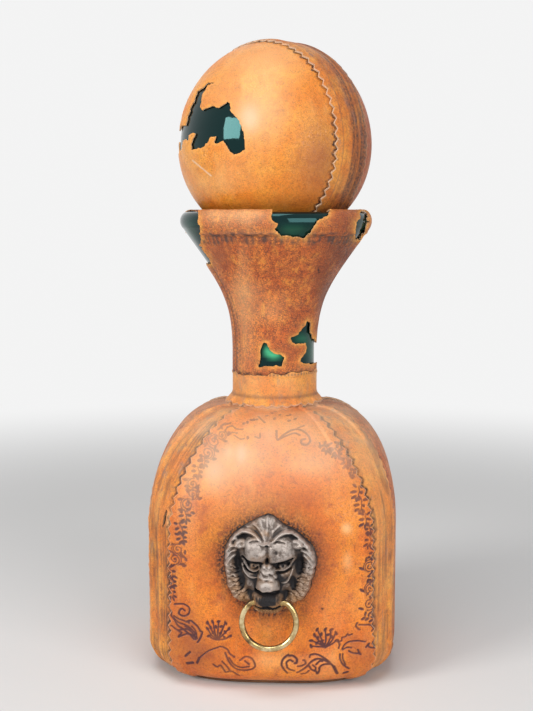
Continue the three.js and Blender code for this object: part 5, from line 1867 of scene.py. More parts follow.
@dataclass
class NeckHide:
    """A hide that runs once round the neck."""

    form: BottleForm
    view: PhotoView
    name: str
    node: str
    slot: str
    foot: float  # lengths along the profile
    top: float
    seed: int
    tears: list[Outline] = field(default_factory=list)
    columns: int = 420
    step: float = 0.5
    seam: float = 180.0  # azimuth
    seam_gap: float = 0.0  # degrees between its edges, 0 for a seam that doesn't show
    clearance: float = 0.3
    thickness: float = 1.1
    thinnest: float = 0.35
    fray: float = 0.8
    points: np.ndarray = field(init=False, repr=False)
    azimuth: np.ndarray = field(init=False, repr=False)
    length: np.ndarray = field(init=False, repr=False)
    gap: np.ndarray = field(init=False, repr=False)

    def lay_out(self) -> None:
        """Lays a grid round the glass and finds how far each point is from a tear."""
        closed = self.seam_gap == 0.0
        around = np.linspace(self.seam_gap / 2, 360.0 - self.seam_gap / 2, self.columns, endpoint=not closed)
        lengths = np.linspace(self.foot, self.top, math.ceil((self.top - self.foot) / self.step) + 1)
        self.azimuth, self.length = np.meshgrid(self.seam + around, lengths)
        self.points = self.form.surface(self.azimuth, self.length, 0.0)
        self.gap = self.view.tear_gap(self.points, self.tears, self.fray, self.seed)

    def ragged(self) -> np.ndarray:
        """How far the worn line between the collar and the sleeve strays up or down."""
        turn = np.radians(self.azimuth)
        ring = self.form.neck_radius * np.stack([np.sin(turn), np.cos(turn)], axis=-1)
        return 1.6 * cloud(ring, 5.0, 93, 4) + 0.8 * np.sin(turn)

    def shape(self) -> tuple[np.ndarray, np.ndarray]:
        """Lift of the flesh side over the glass, and thickness, at each point."""
        frayed = np.exp(-np.maximum(self.gap, 0.0) / 0.9)
        lift = self.clearance + 0.9 * frayed * (0.5 + 0.7 * lattice_noise(self.points, 4.0, self.seed + 4))
        thick = self.thickness + 0.08 * cloud(self.points, 7.0, self.seed + 1, 3)
        return lift, np.maximum(thick - 0.5 * frayed, self.thinnest)

    def marks(self) -> dict[Mark, np.ndarray]:
        """Marks at each point for the material."""
        worn = cloud(self.points, 3.0, self.seed + 7, 3)
        return {
            Mark.TONE: 0.3 * cloud(self.points, 20.0, self.seed + 6, 3),
            Mark.TORN: np.exp(-np.maximum(self.gap + 0.9 * worn, 0.0) / 1.1) * (self.gap < 20.0),
            Mark.FOLD: np.zeros(self.points.shape[:2]),
            Mark.BURNISH: np.zeros(self.points.shape[:2]),
        }

    def build(self, material: bpy.types.Material) -> None:
        """Makes the hide and puts it in its node's stead.

        Args:
            material: Its finish.
        """
        self.lay_out()
        lift, thick = self.shape()
        closed = self.seam_gap == 0.0
        grids = [self.form.surface(self.azimuth, self.length, height) for height in (lift + thick, lift)]
        keep = tear_away(grids, self.gap, closed) if self.tears else None
        piece = shell(self.name, *grids, self.marks(), keep, closed)
        place(piece, self.node, Body.DECANTER, self.slot, material)


@dataclass
class NeckCollar(NeckHide):
    """The collar at the foot of the neck. Its pinked skirt covers the tops of the body's hides."""

    skirt_lift: float = 1.5
    seam_lift: float = 0.95
    seams: tuple[float, ...] = (32.0, 61.0, 119.0, 148.0)  # azimuths where the hides below lie double
    pinking: Pinking = Pinking(blend=2.6)
    prick_radius: float = 22.4  # of the row of pricks at its top

    def lay_out(self) -> None:
        """Lays the grid and cuts the zigzag into its foot."""
        super().lay_out()
        round_foot = 2 * math.pi * float(np.hypot(*self.points[0, 0, :2]))
        share = np.mod(self.azimuth, 360.0) / 360.0
        wave = self.pinking.wave(share, round_foot) * self.pinking.depth / 2
        wave = wave + 0.4 * lattice_noise(self.points, 9.0, self.seed + 3)
        wave = wave + 0.8 * np.cos(np.radians(self.azimuth + 35.0))
        self.length = self.length - wave * (1.0 - smooth(self.length - self.foot, 0.0, self.pinking.blend))
        self.length = self.length + self.ragged() * smooth(self.length, self.top - 4.0, self.top)
        self.points = self.form.surface(self.azimuth, self.length, 0.0)

    def shape(self) -> tuple[np.ndarray, np.ndarray]:
        """Lift and thickness, with the skirt over the hides below."""
        lift, thick = super().shape()
        beside = np.abs(np.mod(self.azimuth + 180.0, 360.0) - 180.0)
        over = sum(smooth(np.abs(beside - seam), 6.5, 3.0) for seam in self.seams)
        skirt = smooth(self.length, self.form.root + 1.5, self.form.dome + 7.6)
        lift = lift + skirt * (self.skirt_lift - self.clearance + self.seam_lift * over)
        edge = smooth(self.length, self.foot + 1.4, self.foot)
        rolled = 0.35 * np.exp(-(((self.length - self.top + 1.0) / 0.8) ** 2))
        return lift, thick - 0.15 * edge + rolled

    def marks(self) -> dict[Mark, np.ndarray]:
        """Marks with the raw zigzag, a line of painted shade where the skirt turns up, and the pricks at the
        top.
        """
        marks = super().marks()
        # Painted shade where the skirt turns up.
        bend = np.exp(-(((self.length - self.form.root + 1.0) / 1.3) ** 2))
        along = np.radians(self.azimuth) * self.prick_radius
        holes = 0.95 * pricks(along, self.length - self.top + 0.4, 1.9, 0.55)
        marks[Mark.FOLD] = np.maximum(0.55 * bend, holes)
        marks[Mark.TONE] = marks[Mark.TONE] + 0.2
        marks[Mark.CUT] = 0.7 * smooth(self.length - self.length[:1], 0.45, 0.1)
        return marks


@dataclass
class NeckSleeve(NeckHide):
    """The hide round the neck and flare, with one upright seam, gathered in under the rim."""

    gather: float = 4.4  # how far below its top the gathering thread runs
    gather_radius: float = 42.0
    pleat: float = 2.6  # distance between gathers

    def pleats(self) -> np.ndarray:
        """The wave of the gathers, from -1 to 1."""
        around = np.radians(self.azimuth) * self.gather_radius
        return np.cos(2 * math.pi * around / self.pleat)

    def from_seam(self) -> np.ndarray:
        """Degrees from the nearer side of the seam."""
        return np.minimum(self.azimuth - self.seam, 360.0 + self.seam - self.azimuth)

    def lay_out(self) -> None:
        """Lays the grid and lets its foot follow the collar's ragged top."""
        super().lay_out()
        self.length = self.length + self.ragged() * smooth(self.length, self.foot + 6.0, self.foot)
        self.points = self.form.surface(self.azimuth, self.length, 0.0)
        self.gap = self.view.tear_gap(self.points, self.tears, self.fray, self.seed)

    def shape(self) -> tuple[np.ndarray, np.ndarray]:
        """Lift and thickness, with the gathered row, the seam and slight upright creases."""
        lift, thick = super().shape()
        below = self.top - self.length
        thread = np.exp(-(((below - self.gather) / 0.9) ** 2))
        pucker = self.pleats() * np.exp(-(((below - self.gather) / 3.2) ** 2))
        free = smooth(below, 1.2, 2.6)
        seam = np.exp(-((self.from_seam() / 2.4) ** 2))
        thick = thick - 0.7 * smooth(below, 4.2, 2.4)
        sewn = (0.16 * pucker - 0.3 * thread - 0.4 * seam) * free
        return lift, np.maximum(thick + sewn, self.thinnest)

    def marks(self) -> dict[Mark, np.ndarray]:
        """Marks with painted shade in the puckered row along the thread, the seam's needle holes, a scar,
        painted light and shade across the neck, and painted shade along its foot.
        """
        marks = super().marks()
        below = self.top - self.length
        broken = 0.5 + 0.7 * lattice_noise(self.points, 2.0, self.seed + 15) + 0.3 * self.pleats()
        # Painted shade in the puckered row along the gathering thread.
        thread = smooth(np.abs(below - self.gather + 1.2), 4.6, 1.2) * np.maximum(1.25 * broken, 0.0)
        beside = self.from_seam() * math.pi / 180.0 * np.hypot(self.points[..., 0], self.points[..., 1])
        first_row = pricks(self.length, beside - 2.2, 2.3, 0.7)
        second_row = 0.8 * pricks(self.length + 1.1, beside - 4.6, 2.3, 0.6)
        sewn = np.maximum(np.maximum(first_row, second_row), 0.7 * smooth(beside, 0.9, 0.3))
        marks[Mark.FOLD] = np.clip(np.maximum(0.9 * thread, sewn), 0.0, 1.0)
        # Painted light and shade across the neck.
        marks[Mark.TONE] = marks[Mark.TONE] + self.view.spots(self.points, NECK_PAINTED_LIGHT_AND_SHADE)
        shade = self.view.spots(self.points, NECK_SCAR) + self.view.spots(self.points, NECK_SHADE)
        # Painted shade in broken dashes along the foot, where it meets the collar.
        foot = smooth(self.length - self.length[:1], 2.2, 0.4)
        dashes = smooth(lattice_noise(self.points, 3.4, self.seed + 12), -0.1, 0.35)
        marks[Mark.BURNISH] = np.clip(shade + foot * (0.3 + 0.7 * dashes), 0.0, 1.0)
        return marks


@dataclass
class RimBand(NeckHide):
    """The hide turned over the rolled lip."""

    sleeve_lift: float = 0.55  # extra lift where it covers the sleeve
    pared: float = 0.12  # thickness that is left at its lower edge

    def lay_out(self) -> None:
        """Lays the grid and lets its foot wander."""
        super().lay_out()
        wander = 0.9 * cloud(self.points, 7.0, self.seed + 17, 3)
        self.length = self.length + wander * smooth(self.length, self.foot + 3.0, self.foot)
        self.points = self.form.surface(self.azimuth, self.length, 0.0)
        self.gap = self.view.tear_gap(self.points, self.tears, self.fray, self.seed)

    def shape(self) -> tuple[np.ndarray, np.ndarray]:
        """Lift and thickness, with the step up over the sleeve and creases across the roll."""
        lift, thick = super().shape()
        over = smooth(self.length, self.form.flare + 3.0, self.form.flare + 0.5)
        creases = np.maximum(cloud(self.points[..., :2], 6.0, self.seed + 9, 2), 0.0)
        edge = smooth(self.length, self.foot + 2.4, self.foot)
        thick = thick - 0.1 - 0.3 * creases * (1.0 - over) - 0.75 * edge
        return lift + self.sleeve_lift * over, np.maximum(thick, self.pared)

    def marks(self) -> dict[Mark, np.ndarray]:
        """Marks with painted shade along the lower edge, painted light on the left side and painted shade on
        the right.
        """
        marks = super().marks()
        # Painted shade, broken up, along the lower edge where the band steps over the sleeve.
        broken = 0.55 + 0.8 * lattice_noise(self.points, 2.0, self.seed + 15)
        lower = smooth(self.length, self.form.flare + 2.6, self.form.flare + 0.4)
        marks[Mark.FOLD] = np.clip(lower * broken, 0.0, 1.0)
        # Painted light on the left of the band and painted shade on its right.
        marks[Mark.TONE] = marks[Mark.TONE] + self.view.spots(self.points, RIM_PAINTED_LIGHT_AND_SHADE)
        marks[Mark.BURNISH] = self.view.spots(self.points, RIM_SHADE)
        return marks


@dataclass
class NeckHides:
    """The collar, the sleeve and the rim band, with the places where they have torn."""

    form: BottleForm
    view: PhotoView
    collar_rise: float = 11.5

    def build(self, finishes: Finishes) -> None:
        """Makes the three hides.

        Args:
            finishes: The materials.
        """
        form, view = self.form, self.view
        collar_top = form.root + self.collar_rise
        NeckCollar(
            form, view, "pinked_collar", "neck_collar", "strip_leather", form.dome + 5.0, collar_top, 91,
            step=0.4,
        ).build(finishes.strip)
        NeckSleeve(
            form, view, "sewn_sleeve", "neck_sleeve", "russet_leather", collar_top + 0.3, form.flare, 97,
            tears=NECK_WINDOWS + LIP_TEARS, seam=-63.0, seam_gap=1.0,
        ).build(finishes.russet)
        RimBand(
            form, view, "turned_rim", "rim_band", "russet_leather", form.flare - 1.6, form.bead_top + 4.0,
            103, tears=LIP_TEARS, step=0.4, columns=600,
        ).build(finishes.russet)


# Stopper


def disc_grid(count: int) -> tuple[np.ndarray, np.ndarray]:
    """A square grid pressed into a disc, so that no point has many spokes.

    Args:
        count: Points along a side.

    Returns:
        Distance from the middle, up to 1, and angle in radians of each point.
    """
    up, across = np.meshgrid(np.linspace(-1, 1, count), np.linspace(-1, 1, count), indexing="ij")
    wide = np.abs(across) > np.abs(up)
    ratio = np.where(wide, up, across) / np.where(wide, across, np.where(up == 0.0, 1.0, up))
    angle = np.where(wide, ratio, 2.0 - ratio) * math.pi / 4
    behind = np.where(wide, across, up) < 0.0
    return np.maximum(np.abs(across), np.abs(up)), angle + math.pi * behind


@dataclass
class BallStopper:
    """The stopper: a hollow glass ball on a shank, its cork, and the hides on the ball."""

    form: BallForm
    bottle: BottleForm
    view: PhotoView
    belt_half: float = 14.5  # degrees
    lap: float = 4.5
    ramp: float = 2.0
    bare_cone: float = 25.0  # left clear about the shank
    clearance: float = 0.3
    thickness: float = 1.1
    wall: float = 3.6
    shank_top: float = 15.0  # radii
    shank_tip: float = 12.5
    shank_end: float = 172.1
    cork_foot: float = 178.1
    cork_top: float = 202.1
    cork_gap: float = 0.4  # to the flare
    shank_gap: float = 0.3  # to the cork
    grid_side: int = 281  # points along a side of a cap's grid
    pinking: Pinking = Pinking(blend=4.0)

    def shank_radius(self, height: np.ndarray) -> np.ndarray:
        """Outside radius of the shank at a height."""
        ends = [self.shank_end, self.form.middle - self.form.half_depth]
        return np.interp(height, ends, [self.shank_tip, self.shank_top])

    def build(self, finishes: Finishes) -> None:
        """Makes the stopper's pieces.

        Args:
            finishes: The materials.
        """
        self.build_glass(finishes.glass)
        self.build_cork(finishes.cork)
        self.build_cap("front_cap", "stopper_front_cap", -1, "tan_leather", finishes.ball)
        self.build_cap("back_cap", "stopper_back_cap", 1, "russet_leather", finishes.russet)
        self.build_belt(finishes.strip)

    def build_glass(self, material: bpy.types.Material) -> None:
        """Makes the blown ball and its shank.

        Args:
            material: Its finish.
        """
        ball, spokes = self.form, 128
        corners: list[tuple[float, float]] = []
        for inside in (True, False):
            less = self.wall if inside else 0.0
            meets = self.shank_top - less
            last = math.pi - math.asin(meets / (ball.radius - less))
            turn = np.linspace(0.0, last, 70)
            tall = np.where(turn < math.pi / 2, ball.half_height, ball.half_depth) - less
            side = list(zip((ball.radius - less) * np.sin(turn), ball.middle + tall * np.cos(turn)))
            heights = np.linspace(side[-1][1], self.shank_end, 20)[1:]
            side += [(float(self.shank_radius(z)) - less, float(z)) for z in heights]
            corners += side if inside else side[::-1]
        radius, height = (np.array(part)[:, None] for part in zip(*corners))
        angle = np.linspace(0.0, 2 * math.pi, spokes, endpoint=False)[None, :]
        rows = around_axis(radius, angle, height)
        piece = turned("blown_ball", rows, {Mark.THIN: np.zeros(rows.shape[:2])})
        place(piece, "stopper_glass", Body.STOPPER, "green_glass", material)

    def build_cork(self, material: bpy.types.Material) -> None:
        """Makes the cork that seats in the flare.

        Args:
            material: Its finish.
        """
        inside = self.bottle.profile - self.wall * self.bottle.normals
        flared = (self.bottle.lengths >= self.bottle.neck) & (self.bottle.lengths <= self.bottle.flare)
        rows, spokes = 60, 160
        height = np.linspace(self.cork_foot, self.cork_top, rows)[:, None]
        seat = np.interp(height, inside[flared, 1], inside[flared, 0]) - self.cork_gap
        ends = np.minimum(height - self.cork_foot, self.cork_top - height)
        angle = np.linspace(0.0, 2 * math.pi, spokes, endpoint=False)[None, :]
        hole = np.broadcast_to(self.shank_radius(height) + self.shank_gap, (rows, spokes))
        sides = (seat - 0.8 * smooth(ends, 1.2, 0.0), hole)
        grids = [around_axis(radius, angle, height) for radius in sides]
        pits = np.maximum(cloud(grids[0], 3.0, 131, 3) - 0.35, 0.0)[..., None]
        grids[0] = grids[0] - 0.9 * pits * around_axis(1.0, angle, 0.0 * height)
        piece = shell("cork_sleeve", *grids, {}, closed=True)
        place(piece, "stopper_cork", Body.STOPPER, "cork", material)

    def worn_gap(self, points: np.ndarray) -> np.ndarray:
        """How far places on the front cap lie from its worn hole.

        Args:
            points: Places in millimetres.

        Returns:
            Millimetres from the hole, negative inside it. Past the outline the hole ends in a ragged tongue.
        """
        past = points[..., 1]
        ragged = 6.0 * cloud(points, 5.0, 177, 3) * smooth(past, -15.0, -4.0)
        above = smooth(points[..., 2], 293.0, 298.0)
        closing = np.maximum(past + 1.0 + 5.0 * above, 0.0) ** 2 / 11.0
        return self.view.tear_gap(points, [BALL_TEAR], 0.7, 141, 7.0) + ragged + closing

    def build_cap(self, name: str, node: str, side: int, slot: str, material: bpy.types.Material) -> None:
        """Makes the hide on one side of the belt, from under the belt's edge to its own pole.

        Args:
            name: Name of the piece.
            node: The CAD node that it stands for.
            side: -1 for the front, 1 for the back.
            slot: The record's slot for its finish.
            material: Its finish.
        """
        out, turn = disc_grid(self.grid_side)
        if side < 0:
            out, turn = out[:, ::-1], turn[:, ::-1]
        under_belt = math.radians(self.belt_half - self.lap + 1.0)
        by_shank = math.cos(math.radians(self.bare_cone)) / np.maximum(-np.cos(turn), 1e-6)
        edge = np.maximum(under_belt, np.arccos(np.clip(by_shank, -1.0, 1.0)))
        tilt = side * (math.pi / 2 + (edge - math.pi / 2) * out)
        bare = self.form.surface(turn, tilt, 0.0)
        gap = self.worn_gap(bare) if side < 0 else np.full(out.shape, FAR)
        frayed = np.exp(-np.maximum(gap, 0.0) / 0.9)
        lift = self.clearance + 0.3 * frayed * (0.5 + 0.5 * lattice_noise(bare, 3.0, 143))
        thick = self.thickness + 0.1 * cloud(bare, 16.0, 145 + side, 3) - 0.5 * frayed
        grids = [self.form.surface(turn, tilt, height) for height in (lift + thick, lift)]
        tone = 0.25 * cloud(bare, 30.0, 147 + side, 3)
        cut, shade = np.zeros(out.shape), np.zeros(out.shape)
        if side < 0:
            shade = self.view.spots(bare, BALL_SHADE)
            # Painted highlight and shade on the front cap.
            tone = tone + self.view.spots(bare, BALL_PAINTED_LIGHT_AND_SHADE)
            scratch = np.abs(outline_distance(*self.view.project(bare), BALL_SCRATCH))
            cut = 0.8 * smooth(scratch, 1.0, 0.4) * (bare[..., 1] < 0.0)
            # Painted sheen beside the tear, through the cut colour.
            cut = np.maximum(cut, self.view.spots(bare, BALL_SHEEN))
        else:
            tone = tone - 0.75
        # Darker towards the ball's underside.
        bottom = smooth(bare[..., 2], 236.0, 228.0)
        # Painted shadow along the belt's pinked edge.
        beside = (np.abs(tilt) - math.radians(self.belt_half)) * self.form.radius - self.zigzag(turn)
        painted_edge_shadow = smooth(beside, 2.0, 1.0) * (0.75 + 0.6 * lattice_noise(bare, 6.0, 161))
        worn = np.maximum(gap + 0.8 * cloud(bare, 3.0, 149, 3), 0.0)
        marks = {
            Mark.TONE: tone,
            Mark.BURNISH: np.clip(0.35 * bottom + painted_edge_shadow + shade, 0.0, 1.0),
            Mark.TORN: 0.8 * np.exp(-worn / 0.8) * (gap < 20.0),
            Mark.CUT: cut,
        }
        keep = tear_away(grids, gap, False) if side < 0 else None
        piece = shell(name, *grids, marks, keep)
        place(piece, node, Body.STOPPER, slot, material)

    def belt_length(self) -> tuple[float, float]:
        """Angle from the top at which the belt ends, and the length of its edge."""
        end = math.pi - math.radians(self.bare_cone)
        return end, 2 * end * (self.form.radius + 2.0)

    def zigzag(self, turn: np.ndarray) -> np.ndarray:
        """How far the belt's edge stands out past its line, at angles along it in radians."""
        end, length = self.belt_length()
        turn = np.mod(turn + math.pi, 2 * math.pi) - math.pi
        wave = self.pinking.wave(np.clip(0.5 + 0.5 * turn / end, 0.0, 1.0), length) * self.pinking.depth / 2
        return wave + 0.4 * lattice_noise(turn[..., None] * 50.0, 12.0, 151)

    def build_belt(self, material: bpy.types.Material) -> None:
        """Makes the pinked belt over the top of the ball.

        Args:
            material: Its finish.
        """
        pinking = self.pinking
        end, length = self.belt_length()
        rows = pinking.rows(length, 0.55)
        across = np.radians(np.linspace(1, -1, 49) * self.belt_half)
        share, tilt = np.meshgrid(np.linspace(0.0, 1.0, rows), across, indexing="ij")
        turn = end * (2.0 * share - 1.0)
        inward = (math.radians(self.belt_half) - np.abs(tilt)) * self.form.radius
        fade = 1.0 - smooth(inward, 0.0, pinking.blend)
        tilt = tilt + np.sign(tilt) * self.zigzag(turn) * fade / self.form.radius
        bare = self.form.surface(turn, tilt, 0.0)
        degrees = self.belt_half - np.abs(np.degrees(tilt))
        climb = smooth(degrees, self.lap + self.ramp, self.lap)
        curl = 0.4 * np.maximum(lattice_noise(bare, 8.0, 153), 0.0) * smooth(inward, 2.5, 0.0)
        lift = self.clearance + 1.2 * climb + curl
        thick = self.thickness - 0.25 * climb + 0.08 * cloud(bare, 10.0, 155, 3)
        grids = [self.form.surface(turn, tilt, height) for height in (lift + thick, lift)]
        # Painted shade: darker on the far side, on the back side and low down, with stain streaks; the tone
        # below is darker on the same sides.
        far = smooth(bare[..., 1], -24.0, 10.0)
        back = smooth(np.degrees(tilt), -11.0, 6.0)
        low = smooth(bare[..., 2], 266.0, 234.0)
        streaks = cloud(np.stack([turn * 9.0, np.degrees(tilt) * 3.4], axis=-1), 8.0, 159, 5)
        streaks_and_shade = 0.12 + 0.25 * far + 0.3 * back + 0.4 * low + (0.25 + 0.9 * back) * streaks
        marks = {
            Mark.TONE: -0.05 - 0.5 * back - 0.25 * far + 0.3 * cloud(bare, 22.0, 157, 3),
            Mark.BURNISH: np.clip(streaks_and_shade, 0.0, 0.85),
            # Painted shade along the bend where the belt climbs onto the caps.
            Mark.FOLD: 0.5 * smooth(np.abs(degrees - self.lap - 1.2), 0.9, 0.0),
            Mark.CUT: 0.75 * smooth(inward, 0.5, 0.1),
        }
        piece = shell("pinked_belt", *grids, marks)
        place(piece, "stopper_belt", Body.STOPPER, "strip_leather", material)


# Lion mask and ring


class Relief:
    """Heights over a flat plan, built up from swellings, strands and hollows, all in millimetres."""

    def __init__(self, half: float, step: float) -> None:
        """Starts flat.

        Args:
            half: Half the side of the square plan.
            step: Distance between its points.
        """
        side = np.arange(-half, half + step / 2, step)
        self.half, self.step = half, step
        self.across, self.up = np.meshgrid(side, side)
        self.height = np.zeros(self.across.shape)

    def share(self, spot: complex, wide: float, high: float, turn: float, power: float) -> np.ndarray:
        """How far each point lies from a spot: 1 at the edge of its oval, which a higher power squares."""
        away = (self.across + 1j * self.up - spot) * np.exp(-1j * math.radians(turn))
        return np.abs(away.real / wide) ** power + np.abs(away.imag / high) ** power

    def lump(self, spot: complex, wide: float, high: float, rise: float, turn: float = 0.0) -> None:
        """Adds a soft lump, or a hollow for a rise below 0, with a turn in degrees."""
        self.height += rise * np.exp(-self.share(spot, wide, high, turn, 2.0))

    def swell(
        self,
        spot: complex,
        wide: float,
        high: float,
        top: float,
        fall: float,
        turn: float = 0.0,
        power: float = 2.0,
    ) -> None:
        """Adds a rounded form that rises to a height of its own and blends into what is there.

        Args:
            spot: Its middle.
            wide: Half its width.
            high: Half its height.
            top: Height of its top.
            fall: How far it has fallen at its edge.
            turn: Its turn in degrees.
            power: 2 for a dome, more for a flatter top with squarer corners.
        """
        form = top - fall * self.share(spot, wide, high, turn, power)
        gap = self.height - form
        self.height = 0.5 * (self.height + form + np.sqrt(gap**2 + 0.35))

    def strand(self, points: list[complex], width: float, rise: float, taper: float = 0.5) -> None:
        """Adds a lock of hair, a ridge or, for a rise below 0, a groove.

        Args:
            points: Points that it passes through.
            width: Half its width at the start.
            rise: Its height at the start.
            taper: Share of both that it has lost at its end.
        """
        curve = smooth_curve(points, 8)
        spot = self.across + 1j * self.up
        nearest, along = np.full(spot.shape, FAR), np.zeros(spot.shape)
        for index, (start, end) in enumerate(zip(curve[:-1], curve[1:])):
            way = end - start
            share = np.clip(((spot - start) * np.conj(way)).real / abs(way) ** 2, 0.0, 1.0)
            gap = np.abs(spot - start - share * way)
            closer = gap < nearest
            nearest = np.where(closer, gap, nearest)
            along = np.where(closer, (index + share) / (len(curve) - 1), along)
        left = 1.0 - taper * along
        self.height += rise * left * np.exp(-((nearest / (width * left)) ** 2))

    def blurred(self, reach: float) -> np.ndarray:
        """The heights smoothed over a reach."""
        count = math.ceil(3 * reach / self.step)
        weights = np.exp(-((np.arange(-count, count + 1) * self.step / reach) ** 2))
        weights /= weights.sum()
        result = np.pad(self.height, count, mode="edge")
        for axis in (0, 1):
            result = np.apply_along_axis(np.convolve, axis, result, weights, "valid")
        return result

    def sample(self, values: np.ndarray, across: np.ndarray, up: np.ndarray) -> np.ndarray:
        """Reads values of the plan at places between its points.

        Args:
            values: Values at the plan's points.
            across: Places across.
            up: Places up.

        Returns:
            The value at each place.
        """
        row, col = ((place + self.half) / self.step for place in (up, across))
        r, c = (np.clip(np.floor(place).astype(int), 0, len(values) - 2) for place in (row, col))
        a, b = row - r, col - c
        low = values[r, c] * (1 - b) + values[r, c + 1] * b
        return low * (1 - a) + (values[r + 1, c] * (1 - b) + values[r + 1, c + 1] * b) * a


